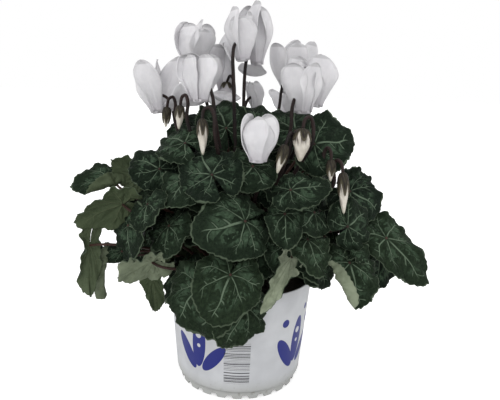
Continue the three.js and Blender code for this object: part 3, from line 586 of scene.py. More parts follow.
def new_group(name, vectors, numbers, results):
    """A node group with these vector inputs, number inputs and number outputs."""
    tree = bpy.data.node_groups.new(name, "ShaderNodeTree")
    for labels, way, kind in ((vectors, "INPUT", "NodeSocketVector"),
                              (numbers, "INPUT", "NodeSocketFloat"),
                              (results, "OUTPUT", "NodeSocketFloat")):
        for label in labels:
            tree.interface.new_socket(label, in_out=way, socket_type=kind)
    given = tree.nodes.new("NodeGroupInput").outputs
    wanted = tree.nodes.new("NodeGroupOutput").inputs
    return tree, given, wanted


def placed_group(tree, group, **values):
    made = tree.nodes.new("ShaderNodeGroup")
    made.node_tree = group
    for name, value in values.items():
        feed(tree, made.inputs[name], value)
    return made.outputs


def mottled(tree, mottle, scale):
    return placed_group(tree, mottle, Place=object_place(tree), Scale=scale)["Value"]


def new_material(name, roughness, specular=0.5):
    material = bpy.data.materials.new(name)
    material.use_nodes = True
    tree = material.node_tree
    shader = tree.nodes["Principled BSDF"].inputs
    shader["Roughness"].default_value = roughness
    shader["Specular IOR Level"].default_value = specular
    return material, tree, shader


def dress(tree, shader, colour, height, depth, strength=1):
    """Gives the shader its colour, and a bump as deep as depth in metres."""
    feed(tree, shader["Base Color"], colour)
    bump = tree.nodes.new("ShaderNodeBump")
    bump.inputs["Strength"].default_value = strength
    bump.inputs["Distance"].default_value = depth
    feed(tree, bump.inputs["Height"], height)
    feed(tree, shader["Normal"], bump.outputs["Normal"])


# Effects that several materials share

def make_mottle():
    """Two sizes of soft cloud, from 0 to 1, for uneven colour."""
    tree, given, out = new_group("Mottle", ["Place"], ["Scale"], ["Value"])
    place = tree.nodes.new("ShaderNodeVectorMath")
    place.operation = "SCALE"
    feed(tree, place.inputs[0], given["Place"])
    feed(tree, place.inputs["Scale"], given["Scale"])
    broad = cloud(tree, place.outputs[0], 1, 2)
    small = cloud(tree, place.outputs[0], 4.3, 3)
    mixed = plus(tree, times(tree, broad, 0.65), times(tree, small, 0.35))
    feed(tree, out["Value"], ramp(tree, mixed, 0.32, 0.68))
    return tree


def vein_line(tree, distance, width):
    """1 on a vein, falling to 0 at its width."""
    return ramp(tree, over(tree, distance, width), 1, 0.6)


def side_vein(tree, along, away, root, width, slope, length):
    """A branch that leaves a vein at its root: how far a place is from it, and its line."""
    here = minus(tree, along, times(tree, away, slope))
    gap = over(tree, size_of(tree, minus(tree, here, root)), math.hypot(1, slope))
    return gap, times(tree, vein_line(tree, gap, width), ramp(tree, away, length, length * 0.7))


def make_veins():
    """Veins of a leaf, from its map: across is the turn round the stem, up is the way to the edge."""
    tree, given, out = new_group("Leaf veins", ["Blade"], ["Leaf"], ["Vein", "Glow", "Between", "Edge"])
    across, reach, _ = parts_of(tree, given["Blade"])
    turn = times(tree, minus(tree, across, 0.5), 2 * NOTCH_ANGLE)
    step = 2 * NOTCH_ANGLE / VEIN_COUNT
    number = maths(tree, "FLOOR", over(tree, plus(tree, turn, step / 2), step))
    off = minus(tree, turn, times(tree, number, step))
    along = times(tree, reach, maths(tree, "COSINE", off))
    beside = times(tree, reach, maths(tree, "SINE", off))
    away = size_of(tree, beside)
    side = maths(tree, "SIGN", beside)
    seed = plus(tree, times(tree, number, VEIN_CHANGE), times(tree, given["Leaf"], TONE_CHANGE))
    shift = times(tree, plus(tree, maths(tree, "SINE", seed), side), SIDE_VEIN_SHIFT)
    chance = maths(tree, "SIGN", maths(tree, "SINE", times(tree, seed, 3.7)))
    one_side = ramp(tree, times(tree, side, chance), -0.5, 0.5)
    width = ramp(tree, reach, 0, 0.9, VEIN_WIDTH, VEIN_TIP_WIDTH)
    side_width = times(tree, width, SIDE_VEIN_SHARE)
    line = times(tree, vein_line(tree, away, width), ramp(tree, reach, 0.86, 0.70))
    nearest = away
    for start, slope, length, both in SIDE_VEINS:
        root = plus(tree, shift, start)
        gap, branch = side_vein(tree, along, away, root, side_width, slope, length)
        nearest = maths(tree, "MINIMUM", nearest, gap)
        if not both:
            branch = times(tree, branch, one_side)
        line = maths(tree, "MAXIMUM", line, times(tree, branch, SIDE_VEIN_SHARE))
    feed(tree, out["Vein"], times(tree, line, ramp(tree, reach, 0.02, 0.16)))
    feed(tree, out["Glow"], times(tree, ramp(tree, nearest, 0.075, 0), ramp(tree, reach, 0.9, 0.6)))
    band = times(tree, ramp(tree, reach, 0.18, 0.36), ramp(tree, reach, 0.80, 0.58))
    feed(tree, out["Between"], times(tree, ramp(tree, nearest, 0.012, 0.04), band))
    feed(tree, out["Edge"], ramp(tree, reach, 0.968, 0.985))
    return tree


# Materials

def leaf_top_material(veins, mottle):
    material, tree, shader = new_material("leaf_upper_side", 0.55, 0.06)
    tone = own_value(tree, "tone")
    lines = placed_group(tree, veins, Blade=own_map(tree, "blade"), Leaf=tone)
    patches = mottled(tree, mottle, 95)
    fine = mottled(tree, mottle, 520)
    pale = times(tree, lines["Between"], ramp(tree, patches, 0.45, 0.62))
    pale = times(tree, pale, ramp(tree, fine, 0, 1, 0.35, 0.9))
    green = coated(
        tree, LEAF_DARK,
        (tone, 1, LEAF_LIGHT),
        (fine, 0.6, LEAF_SHADE),
        (pale, 1, LEAF_PATCH),
        (lines["Glow"], 0.12, LEAF_GLOW),
        (lines["Vein"], 0.8, LEAF_VEIN),
        (lines["Edge"], 0.7, LEAF_EDGE),
    )
    feed(tree, shader["Roughness"], ramp(tree, fine, 0, 1, 0.45, 0.65))
    height = plus(tree, times(tree, fine, 0.6), times(tree, lines["Vein"], 0.3))
    dress(tree, shader, green, height, 0.0009)
    return material


def leaf_under_material(veins, mottle):
    material, tree, shader = new_material("leaf_under_side", 0.6, 0.1)
    lines = placed_group(tree, veins, Blade=own_map(tree, "blade"), Leaf=own_value(tree, "tone"))
    fine = mottled(tree, mottle, 500)
    olive = coated(
        tree, UNDER_OLIVE,
        (own_value(tree, "pale"), 1, UNDER_PALE),
        (mottled(tree, mottle, 70), 0.4, UNDER_SHADE),
        (fine, 0.15, UNDER_FLECK),
        (lines["Vein"], 0.4, UNDER_VEIN),
    )
    dress(tree, shader, olive, plus(tree, times(tree, fine, 0.4), lines["Vein"]), 0.0005)
    return material


def petal_material(mottle):
    material, tree, shader = new_material("white_petal", 0.6, 0.25)
    shader["Subsurface Weight"].default_value = 0.5
    shader["Subsurface Radius"].default_value = (0.002, 0.002, 0.002)
    shader["Subsurface Scale"].default_value = 0.6
    across, along, _ = parts_of(tree, own_map(tree, "petal"))
    soft = mottled(tree, mottle, 70)
    lines = streaks(tree, 26, 1.4, 2)
    reach = plus(tree, size_of(tree, minus(tree, across, 0.5)), times(tree, minus(tree, soft, 0.5), 0.05))
    sides = times(tree, ramp(tree, reach, 0.36, 0.40, 0, 0.4), ramp(tree, along, 0.45, 0.7))
    white = coated(
        tree, PETAL_WHITE,
        (soft, 0.6, PETAL_SOFT),
        # Painted shade: a greyer band along the petals' sides and tips, for their thin see-through rims
        (maths(tree, "MAXIMUM", sides, ramp(tree, along, 0.80, 0.84)), 0.8, PETAL_RIM_SHADE),
        # A faint lilac tint at the petals' roots, with painted shade deeper in the throat
        (ramp(tree, along, 0.25, 0), 0.5, PETAL_THROAT_TINT_AND_SHADE),
        (ramp(tree, lines, 0.5, 0.8), 0.2, PETAL_LINE),
    )
    dress(tree, shader, white, lines, 0.0003, 0.5)
    return material


def calyx_material(mottle):
    material, tree, shader = new_material("calyx", 0.55, 0.2)
    _, along, _ = parts_of(tree, own_map(tree, "petal"))
    brown = coated(
        tree, CALYX_DARK,
        (ramp(tree, streaks(tree, 34, 2.2, 3), 0.42, 0.62), 1, CALYX_BROWN),
        (ramp(tree, along, 0.6, 1), 0.5, CALYX_TIP),
    )
    dress(tree, shader, brown, mottled(tree, mottle, 700), 0.0002)
    return material


def bud_material(mottle):
    material, tree, shader = new_material("bud_petal", 0.5)
    _, along, _ = parts_of(tree, own_map(tree, "petal"))
    lines = streaks(tree, 22, 1.5, 3)
    brown = times(tree, ramp(tree, lines, 0.42, 0.58), ramp(tree, along, 0.58, 0.3))
    cream = coated(
        tree, BUD_CREAM,
        (mottled(tree, mottle, 150), 1, BUD_SOFT),
        (ramp(tree, along, 0.8, 1), 0.4, BUD_TIP),
        (brown, 0.9, BUD_STREAK),
    )
    dress(tree, shader, cream, lines, 0.0003)
    return material


def stalk_material(name, dark, light, mottle):
    material, tree, shader = new_material(name, 0.5, 0.2)
    fine = mottled(tree, mottle, 900)
    colour = coated(tree, dark, (mottled(tree, mottle, 38), 1, light), (fine, 0.3, dark))
    dress(tree, shader, colour, fine, 0.0002)
    return material


def peat_material(mottle):
    material, tree, shader = new_material("moist_peat", 0.95)
    crumbs = cloud(tree, object_place(tree), 650, 6, 0.65)
    colour = coated(tree, PEAT_DARK, (crumbs, 1, PEAT_BROWN), (mottled(tree, mottle, 110), 0.4, PEAT_WET))
    dress(tree, shader, colour, crumbs, 0.0012)
    return material


def oval_mask(tree, across, up, centre, radii, tilt):
    """Inside of a tilted oval, from places in millimetres."""
    x = minus(tree, across, centre[0])
    y = minus(tree, up, centre[1])
    c, s = math.cos(tilt), math.sin(tilt)
    along = plus(tree, times(tree, x, c), times(tree, y, s))
    beside = minus(tree, times(tree, y, c), times(tree, x, s))
    along = maths(tree, "POWER", over(tree, along, radii[0]), 2)
    beside = maths(tree, "POWER", over(tree, beside, radii[1]), 2)
    return ramp(tree, plus(tree, along, beside), 1.03, 0.97)


def along_wall(tree, turn, middle, span):
    """Millimetres along the wall from a middle that comes again at each span."""
    return times(tree, maths(tree, "WRAP", minus(tree, turn, middle), span / 2, -span / 2), PRINT_RADIUS)


def drops_mask(tree, turn, up):
    across = along_wall(tree, turn, PRINT_TURN, PRINT_SPAN)
    drops, *others = [oval_mask(tree, across, up, *shape) for shape in PRINT_OVALS]
    for other in others:
        drops = maths(tree, "MAXIMUM", drops, other)
    for dot in PRINT_DOTS:
        drops = minus(tree, drops, oval_mask(tree, across, up, *dot), clamp=True)
    return drops


def stripes_mask(tree, turn, up):
    """A block of level stripes, each with a random width."""
    off = size_of(tree, along_wall(tree, turn, STRIPE_TURN, 2 * math.pi))
    block = ramp(tree, off, STRIPE_HALF + STRIPE_SOFT, STRIPE_HALF - STRIPE_SOFT)
    block = times(tree, block, ramp(tree, up, STRIPE_FOOT - STRIPE_SOFT, STRIPE_FOOT + STRIPE_SOFT))
    block = times(tree, block, ramp(tree, up, STRIPE_TOP + STRIPE_SOFT, STRIPE_TOP - STRIPE_SOFT))
    steps = over(tree, up, STRIPE_STEP)
    chance = tree.nodes.new("ShaderNodeTexWhiteNoise")
    chance.noise_dimensions = "1D"
    feed(tree, chance.inputs["W"], maths(tree, "FLOOR", steps))
    width = times(tree, chance.outputs["Value"], STRIPE_WIDEST)
    share = minus(tree, maths(tree, "FRACT", steps), width)
    return times(tree, block, ramp(tree, share, 0.05, -0.05))


def pot_outside_material(mottle):
    material, tree, shader = new_material("pot_outside", 0.4, 0.3)
    place = object_place(tree)
    x, y, z = parts_of(tree, place)
    up = over(tree, z, MM)
    turn = maths(tree, "ARCTAN2", y, x)
    broad = mottled(tree, mottle, 26)
    low = ramp(tree, up, 20, 4)
    white = coated(
        tree, POT_WHITE,
        (broad, 1, POT_SHADE),
        # Darker towards the bottom of the pot
        (low, 0.7, POT_LOWER_GREY),
        (times(tree, ramp(tree, cloud(tree, place, 240, 5), 0.56, 0.72), low), 0.6, POT_SPECK),
        # Painted shadow: a dark line in the groove between the pot's wall and its foot ring
        (ramp(tree, size_of(tree, minus(tree, up, FOOT_HEIGHT)), 1, 0.2), 0.8, POT_GROOVE_SHADOW),
        (drops_mask(tree, turn, up), 1, PRINT_BLUE),
        (stripes_mask(tree, turn, up), 0.9, STRIPE_GREY),
    )
    feed(tree, shader["Roughness"], ramp(tree, broad, 0, 1, 0.34, 0.46))
    dress(tree, shader, white, cloud(tree, place, 90, 2), 0.0006, 0.35)
    return material


def pot_inside_material(mottle):
    material, tree, shader = new_material("pot_inside", 0.5)
    fine = mottled(tree, mottle, 120)
    dress(tree, shader, coated(tree, POT_INSIDE_DARK, (fine, 1, POT_INSIDE_LIGHT)), fine, 0.0004)
    return material


# Mesh making

def add_grid(bm, columns, rows, place, layer=None, warp=None):
    """A sheet of columns by rows. place turns its two shares, 0 to 1, into points, and warp its map."""
    made = bmesh.ops.create_grid(bm, x_segments=columns, y_segments=rows, size=1, calc_uvs=layer is not None)
    verts = made["verts"]
    flat = np.array([v.co for v in verts])[:, :2] / 2 + 0.5
    if layer is not None:
        faces = {f for v in verts for f in v.link_faces}
        loops = [loop for f in faces for loop in f.loops]
        shares = np.array([(loop.vert.co.x, loop.vert.co.y) for loop in loops]) / 2 + 0.5
        if warp is not None:
            shares = warp(shares[:, 0], shares[:, 1])
        for loop, pair in zip(loops, shares):
            loop[layer].uv = pair
    for v, point in zip(verts, place(flat[:, 0], flat[:, 1])):
        v.co = point
    return verts


def merge(bm, verts, distance=0.001):
    bmesh.ops.remove_doubles(bm, verts=verts, dist=distance)


def add_skin(bm, columns, rows, place, layer=None, warp=None):
    """A sheet with its seam and its poles closed."""
    merge(bm, add_grid(bm, columns, rows, place, layer, warp))


def petal_bmesh():
    bm = bmesh.new()
    return bm, bm.loops.layers.uv.new("petal")


def add_tube(bm, points, radii, sides):
    """A round stem through the points, closed at both ends."""
    points = np.asarray(points, float)
    tangents = np.gradient(points, axis=0)
    tangents /= np.linalg.norm(tangents, axis=1)[:, None]
    normal = unit(np.cross(tangents[0], (0.31, 0.87, 0.38)))
    normals = []
    for tangent in tangents:
        normal = unit(normal - tangent * normal.dot(tangent))
        normals.append(normal)
    normals = np.array(normals)
    beside = np.cross(tangents, normals)
    ends = [0, *range(len(points)), len(points) - 1]
    points, normals, beside = points[ends], normals[ends], beside[ends]
    radii = np.array([0, *radii, 0])
    steps = len(points) - 1

    def place(u, v):
        i = np.rint(v * steps).astype(int)
        a = 2 * np.pi * u
        r = radii[i]
        return points[i] + normals[i] * (r * np.cos(a))[:, None] + beside[i] * (r * np.sin(a))[:, None]

    add_skin(bm, sides, steps, place)


def turned(profile, steps):
    """A closed body of revolution about Z from a profile of radius and height."""
    bm = bmesh.new()
    verts = [bm.verts.new((r, 0, z)) for r, z in profile]
    edges = [bm.edges.new(pair) for pair in zip(verts, verts[1:])]
    bmesh.ops.spin(bm, geom=verts + edges, cent=(0, 0, 0), axis=(0, 0, 1), angle=2 * math.pi,
                   steps=steps, use_merge=True)
    merge(bm, bm.verts)
    bmesh.ops.recalc_face_normals(bm, faces=bm.faces)
    return bm


def new_object(name, data):
    made = bpy.data.objects.new(name, data)
    bpy.context.collection.objects.link(made)
    return made


def new_mesh(name, bm):
    """A mesh in metres from a bmesh in millimetres, which is used up."""
    mesh = bpy.data.meshes.new(name)
    bmesh.ops.scale(bm, vec=(MM, MM, MM), verts=bm.verts)
    bm.to_mesh(mesh)
    bm.free()
    return mesh


def finish_piece(name, bm, materials, nodes, thickness=0):
    mesh = new_mesh(name, bm)
    for material in materials:
        mesh.materials.append(material)
    mesh.shade_smooth()
    piece = new_object(name, mesh)
    if thickness:
        wall = piece.modifiers.new("thickness", "SOLIDIFY")
        wall.thickness = thickness * MM
        wall.offset = 0
        wall.material_offset = len(materials) - 1
    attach(piece, "root")
    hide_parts(*nodes)
    return piece


# Leaves

def heart(a):
    """Reach of a heart-shaped outline at a turn from its tip."""
    b = np.abs(a)
    reach = HEART_SIDE + (HEART_LENGTH - HEART_SIDE) * np.exp(-((b / HEART_POINT) ** 1.5))
    return reach * (1 - HEART_DIP * smooth(math.radians(150), math.radians(175), b))


def leaf_axes(leaf, tilt):
    """Stem end, length, width and upward axis of a leaf's solid, and the way that it may settle."""
    at = np.array(leaf["at"], float)
    x = unit(np.array(leaf["tip"], float) - at)
    outward = unit(at - SETTLE_FROM)
    face = unit(leaf["face"]) if "face" in leaf else unit(at - FACE_FROM) + FACE_LIFT
    z = unit(face - x * face.dot(x))
    y = np.cross(z, x)
    c, s = math.cos(math.radians(tilt)), math.sin(math.radians(tilt))
    return at, x * c - z * s, y, z * c + x * s, outward


def bend(x, z, angle, span):
    """Rolls a flat span round a cylinder, so that it covers the angle."""
    r = span / angle
    return (r + z) * np.sin(x / r), (r + z) * np.cos(x / r) - r


def leaf_points(leaf, a, v, lift=0.0):
    """Points of the blade in its own axes, at turn a and share v of the way to the edge."""
    r = v * heart(a)
    half = leaf["droop"] / 2
    x = r * np.cos(a) / HEART_LENGTH * leaf["length"] * half / math.sin(half)
    y = r * np.sin(a) / HEART_WIDTH * leaf["width"]
    z = leaf["wave"] * v * v * np.sin(leaf["waves"] * a + leaf["phase"]) + lift
    if "finer_roll" in leaf:
        x, y, z = roll_over(x, y, z, leaf)
    y, z = bend(y, z, leaf["fold"], leaf["width"])
    x, z = bend(x, z, leaf["droop"], leaf["length"])
    c, s = math.cos(half), math.sin(half)
    return np.stack([x * c - z * s, y, x * s + z * c], axis=-1)


def finer(leaf):
    """The leaf with the pose and shape of its finer blade, which turns on the end of the stem."""
    start = leaf["start"] + leaf.get("shift", (0, 0, 0))
    x, _, z = leaf["axes"]
    span = np.array(leaf["reach"]) - start if "reach" in leaf else x * leaf["length"]
    x = unit(span)
    z = unit(leaf.get("look", z))
    z = unit(z - x * z.dot(x))
    made = dict(leaf, start=start, axes=(x, np.cross(z, x), z), length=np.linalg.norm(span))
    made["width"] = leaf["width"] * leaf.get("slim", 1)
    if "curl" in leaf:
        made["fold"] = math.radians(leaf["curl"])
    if "roll" in leaf:
        made["finer_roll"] = leaf["roll"]
    return made


def roll_over(x, y, z, leaf):
    """Rolls the part of the blade past a line over, round that line, and then flat again."""
    turn, start, radius, angle = leaf["finer_roll"]
    c, s = math.cos(math.radians(turn)), math.sin(math.radians(turn))
    start = start * (abs(c) * leaf["length"] + abs(s) * leaf["width"] / 2)
    past = np.maximum(x * c + y * s - start, 0)
    sense = math.copysign(1, angle)
    limit = math.radians(abs(angle))
    a = np.minimum(past / radius, limit)
    rest = past - a * radius
    shift = radius * np.sin(a) + rest * np.cos(a) - past - sense * z * np.sin(a)
    lifted = sense * (radius * (1 - np.cos(a)) + rest * np.sin(a)) + z * np.cos(a)
    return x + shift * c, y + shift * s, lifted


def back_leaves():
    """Rings of leaves round the back, each moved a little from its even place."""
    leaves = []
    for t, tier in enumerate(BACK_TIERS):
        for i in range(tier["count"]):
            share = (i + 0.25 * jitter(i, 5 + t)) / (tier["count"] - 1)
            a = math.radians(tier["start"] + (tier["end"] - tier["start"]) * share)
            r = tier["radius"] + 3 * jitter(i, 10 + t)
            h = tier["height"] + 5 * jitter(i, 20 + t)
            out = math.sqrt(tier["length"] ** 2 - tier["drop"] ** 2)
            turn = a + 0.5 * jitter(i, 30 + t)
            at = level(a) * r + (0, 0, h)
            tip = at + level(turn) * out - (0, 0, tier["drop"])
            leaves.append(dict(at=at, tip=tip, width=BACK_WIDTH, inner=i % 3 != 0))
    return leaves


def grown(i, leaf):
    """The leaf with the sizes that the solids give it."""
    size = "inner" if leaf.get("inner") else "large" if leaf["width"] > LARGE else "small"
    return dict(
        leaf,
        number=i,
        length=np.linalg.norm(np.subtract(leaf["tip"], leaf["at"])),
        waves=3 + i % 2,
        phase=math.pi * jitter(i, 1),
        wave=varied(LEAF_WAVE, i, 2),
        fold=math.radians(leaf.get("fold", varied(LEAF_FOLD, i, 3))),
        droop=math.radians(varied(LEAF_DROOP, i, 4)),
        grid=SOLID_GRIDS[size],
    )


def solid_points(leaf):
    """Corner points of the leaf's plain solid, in the blade's own axes."""
    sectors, rings = leaf["grid"]
    i, j = np.meshgrid(np.arange(sectors + 1), np.arange(1, rings + 1), indexing="ij")
    a = (NOTCH_ANGLE * (2 * i / sectors - 1)).ravel()
    v = (np.where(j == rings, 1 + np.where(i % 2, SOLID_TEETH, -SOLID_TEETH), 1) * j / rings).ravel()
    w = np.maximum(v, 0.05)
    step = 0.01
    da = leaf_points(leaf, a + step, w) - leaf_points(leaf, a - step, w)
    dv = leaf_points(leaf, a, w + step) - leaf_points(leaf, a, w - step)
    normals = np.cross(dv, da)
    normals /= np.linalg.norm(normals, axis=1)[:, None]
    points = leaf_points(leaf, a, v)
    centre = leaf_points(leaf, np.zeros(1), np.zeros(1))
    flat = np.vstack([centre, points])
    normals = np.vstack([(0, 0, 1), normals])
    return np.vstack([flat + normals * BLADE / 2, flat - normals * BLADE / 2])


def tree_of(points):
    tree = KDTree(len(points))
    for i, point in enumerate(points):
        tree.insert(point, i)
    tree.balance()
    return tree


def node_points(prefix):
    """Every corner of the CAD nodes with this prefix, in millimetres, and the node of each."""
    points, owners = [], []
    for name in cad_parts:
        if name.startswith(prefix):
            for v in bpy.data.objects[name].data.vertices:
                points.append(v.co / MM)
                owners.append(name)
    return tree_of(points), owners


def settle(leaf, tree, owners):
    """Finds the CAD node that holds the leaf, and the step and tilt that its solid was given."""
    corners = solid_points(leaf)
    best = (0, None, None, None)
    for step in range(-SETTLE_LIMIT, SETTLE_LIMIT + 1):
        for tilt in TILTS:
            at, x, y, z, outward = leaf_axes(leaf, tilt)
            start = at + outward * step * SETTLE_STEP
            places = start + corners @ np.array([x, y, z])
            if tree.find(places[0])[2] > MATCH:
                continue
            near = [tree.find(place) for place in places]
            hits = [owners[i] for _, i, distance in near if distance < MATCH]
            node = max(set(hits), key=hits.count)
            best = max(best, (hits.count(node), node, start, (x, y, z)), key=lambda found: found[0])
    _, leaf["node"], leaf["start"], leaf["axes"] = best


def vein_distance(tone, a, v):
    """Share of the blade's reach to the nearest vein, as the leaf material draws them."""
    step = 2 * NOTCH_ANGLE / VEIN_COUNT
    number = np.floor((a + step / 2) / step)
    off = a - number * step
    along = v * np.cos(off)
    beside = v * np.sin(off)
    away = np.abs(beside)
    shift = SIDE_VEIN_SHIFT * (np.sin(VEIN_CHANGE * number + TONE_CHANGE * tone) + np.sign(beside))
    nearest = away
    for start, slope, _, _ in SIDE_VEINS:
        nearest = np.minimum(nearest, np.abs(along - away * slope - start - shift) / math.hypot(1, slope))
    return nearest


def warped(leaf, a, v):
    """Turn and reach moved a little, so that no two leaves have the same veins."""
    n = leaf["number"]
    calm = v * (1 - v ** 6)
    a = a + 0.32 * v * v * np.sin(a)
    a = a + calm * (0.12 * np.sin(2.1 * a + 3 * jitter(n, 71)) + 0.08 * np.sin(5.3 * a + 9 * v + n))
    v = v + calm * (0.09 * np.sin(3.7 * a + 4 * jitter(n, 72)) + 0.06 * np.sin(8.9 * a + 2 * n))
    return a, v


def toothed(u, a, v, n):
    """Reach of the toothed edge as a share of the smooth one's."""
    tooth = np.abs(np.sin(np.pi * TOOTH_COUNT * u + 0.3)) - 0.6
    tooth = tooth * (1 + 0.5 * np.sin(17 * a + n)) + 0.5 * np.sin(7 * a + 2 * n)
    return 1 + TOOTH_DEPTH * tooth * v ** 9


def blade_relief(leaf, tone, a, v):
    """Height of the quilted blade between its veins, with ripples toward the edge."""
    n = leaf["number"]
    away = vein_distance(tone, *warped(leaf, a, v)) * leaf["width"] / 2
    quilt = QUILT * (1 - np.exp(-((away / QUILT_WIDTH) ** 2))) * smooth(0, 0.25, v) * smooth(1.05, 0.8, v)
    ripple = 1.5 * v ** 3 * np.sin(9 * a + 5 * jitter(n, 73)) + 0.9 * v ** 5 * np.sin(19 * a + n)
    return quilt - 0.4 * QUILT + ripple


def fine_blade(bm, leaf, layers):
    grid = INNER_GRID if leaf.get("inner") else OUTER_GRID
    map_layer, tone_layer, pale_layer = layers
    tone = leaf.get("tone", varied(LEAF_TONE, leaf["number"], 74))
    leaf = finer(leaf)

    def place(u, v):
        a = NOTCH_ANGLE * (2 * u - 1)
        wide = v * toothed(u, a, v, leaf["number"])
        local = leaf_points(leaf, a, wide, blade_relief(leaf, tone, a, v))
        return leaf["start"] + local @ np.array(leaf["axes"])

    def warp(u, v):
        wa, wv = warped(leaf, NOTCH_ANGLE * (2 * u - 1), v)
        return np.stack([wa / (2 * NOTCH_ANGLE) + 0.5, wv], axis=1)

    verts = add_grid(bm, *grid, place, map_layer, warp)
    for v in verts:
        v[tone_layer] = tone
        v[pale_layer] = leaf.get("pale", LEAF_PALE * tone)
    bmesh.ops.reverse_faces(bm, faces=list({f for v in verts for f in v.link_faces}))
    merge(bm, verts)


def make_bunch(name, bunch, materials, nodes):
    bm = bmesh.new()
    layers = (bm.loops.layers.uv.new("blade"), bm.verts.layers.float.new("tone"),
              bm.verts.layers.float.new("pale"))
    for leaf in bunch:
        fine_blade(bm, leaf, layers)
    finish_piece(name, bm, materials, nodes, LEAF_THICKNESS)


def make_leaves(leaves, materials):
    tree, owners = node_points("leaf_")
    bunches = {}
    for leaf in leaves:
        settle(leaf, tree, owners)
        bunches.setdefault(leaf["node"], []).append(leaf)
    for node, bunch in bunches.items():
        name = node.replace("leaf", "leaves" if len(bunch) > 1 else "blade")
        make_bunch(name, bunch, materials, [node])


def blade_samples(leaf):
    """Points spread over the finer blade."""
    a, v = np.meshgrid(np.linspace(-NOTCH_ANGLE, NOTCH_ANGLE, 19), (0.0, 0.3, 0.6, 0.85, 1.05))
    leaf = finer(leaf)
    return leaf["start"] + leaf_points(leaf, a.ravel(), v.ravel()) @ np.array(leaf["axes"])


def placed_leaf(number, leaf):
    """A leaf that no solid stands for, in the place that its own sizes give."""
    made = grown(number, dict(leaf, inner=True))
    made["start"], *axes, _ = leaf_axes(made, 0)
    made["axes"] = tuple(axes)
    return made


def spare_place(i):
    """The i-th place to try for a leaf deep in the plant."""
    turn = GOLDEN_TURN * i
    heading = varied((turn, SPARE_SWING), i, 83)
    length = varied(SPARE_LENGTH, i, 84)
    drop = length * varied(SPARE_DROP, i, 85)
    out = math.sqrt(length ** 2 - drop ** 2)
    at = level(turn) * varied(SPARE_RADIUS, i, 81) + (0, 0, varied(SPARE_HEIGHT, i, 82))
    return dict(at=at, tip=at + level(heading) * out - (0, 0, drop), width=SPARE_WIDTH)


def added_leaves(leaves):
    """The hidden leaves, and spare ones in each place tried that is clear of all the others."""
    added = [placed_leaf(len(leaves) + i, leaf) for i, leaf in enumerate(HIDDEN_LEAVES)]
    points = np.vstack([blade_samples(leaf) for leaf in (*leaves, *added)])
    tree = tree_of(points)
    for i in range(SPARE_TRIES):
        leaf = placed_leaf(len(leaves) + len(added), spare_place(i))
        mine = blade_samples(leaf)
        if all(tree.find(place)[2] > SPARE_CLEAR for place in mine):
            points = np.vstack([points, mine])
            tree = tree_of(points)
            added.append(leaf)
    return added


# Stems

def leaf_stem_points(leaf, tree):
    """Curve points of a leaf's stem: of the bows that the solids choose from, the one they took."""
    x, _, z = leaf["axes"]
    to_place = np.array(leaf["axes"])
    centre = leaf["start"] + leaf_points(leaf, np.zeros(1), np.zeros(1))[0] @ to_place
    sectors, rings = leaf["grid"]
    a = NOTCH_ANGLE * (2 * np.arange(sectors + 1) / sectors - 1)
    ring = leaf["start"] + leaf_points(leaf, a, np.full(len(a), 1 / rings)) @ to_place - centre
    fall = -(ring @ z)
    slope = max(0, np.max(fall / np.sqrt(np.maximum((ring ** 2).sum(axis=1) - fall ** 2, 1))))
    end = centre - z * (0.85 + slope * 1.5)
    choices = [stem_corners(centre, end, x, z, bow) for bow in STEM_BOWS]
    root, first, second, end = max(choices, key=lambda corners: stem_hits(corners, tree))
    shift = leaf.get("shift", (0, 0, 0))
    points = bezier((root, first, second + shift, end + shift), np.linspace(0, 1, LEAF_STEM_POINTS))
    return np.vstack([points, centre - z * 0.1 + shift])


def stem_hits(corners, tree):
    """How many corners of the crown's solid lie on a stem with this curve."""
    hits = 0
    for t in (1 / 3, 2 / 3):
        point = bezier(corners, np.array([t]))[0]
        radius = LEAF_STEM + (LEAF_STEM_TIP - LEAF_STEM) * t
        near = tree.find_range(point, radius + MATCH)
        hits += sum(abs(distance - radius) < MATCH for _, _, distance in near)
    return hits


def stem_corners(centre, end, x, z, bow):
    """Curve corners of a leaf's stem, by the rule of the solids, with a bow to a side and upward."""
    shift, lift = bow
    reach = math.hypot(centre[0], centre[1])
    root = min(max(15 - (centre[2] - 90) * 0.08, 6), 14)
    outward = level(math.atan2(centre[1], centre[0]))
    aside = np.cross((0, 0, 1), outward) * shift
    rise = 84 + max(30, (centre[2] - 80) * 0.6) * lift
    height = min(rise, max(centre[2] - 20, 125))
    first = outward * (root + 0.22 * reach) + (0, 0, height) + aside
    second = end - z * 22 - x * 8 + aside
    second[2] = max(second[2], 101)
    return outward * (root - 2) + (0, 0, CORM_CENTRE + 3), first, second, end


def bezier(corners, t):
    t = t[:, None]
    a, b, c, d = corners
    return (1 - t) ** 3 * a + 3 * (1 - t) ** 2 * t * b + 3 * (1 - t) * t ** 2 * c + t ** 3 * d


def smooth_curve(points, count):
    """Centripetal curve through the points, as the solids' stems follow."""
    points = [np.array(p, float) for p in points]
    padded = [2 * points[0] - points[1], *points, 2 * points[-1] - points[-2]]
    made = []
    for t in np.linspace(0, len(points) - 1, count):
        i = min(int(t), len(points) - 2)
        w = t - i
        p0, p1, p2, p3 = padded[i:i + 4]
        d0, d1, d2 = (np.linalg.norm(b - a) ** 0.5 for a, b in ((p0, p1), (p1, p2), (p2, p3)))
        m1 = ((p1 - p0) / d0 - (p2 - p0) / (d0 + d1) + (p2 - p1) / d1) * d1
        m2 = ((p2 - p1) / d1 - (p3 - p1) / (d1 + d2) + (p3 - p2) / d2) * d1
        squared = 3 * (p2 - p1) - 2 * m1 - m2
        cubed = 2 * (p1 - p2) + m1 + m2
        made.append(p1 + m1 * w + squared * w ** 2 + cubed * w ** 3)
    return np.array(made)


def flower_stem_points(hook):
    """Curve points of a flower's or bud's stem, from the corm up to its hook."""
    first = hook[0]
    start = level(math.atan2(first[1], first[0])) * 7 + (0, 0, CORM_CENTRE + 6)
    low = start + (first - start) * 0.35 + (0, 0, 12)
    high = start + (first - start) * 0.7 + (0, 0, 8)
    return smooth_curve([start, low, high, *hook], FLOWER_STEM_POINTS)


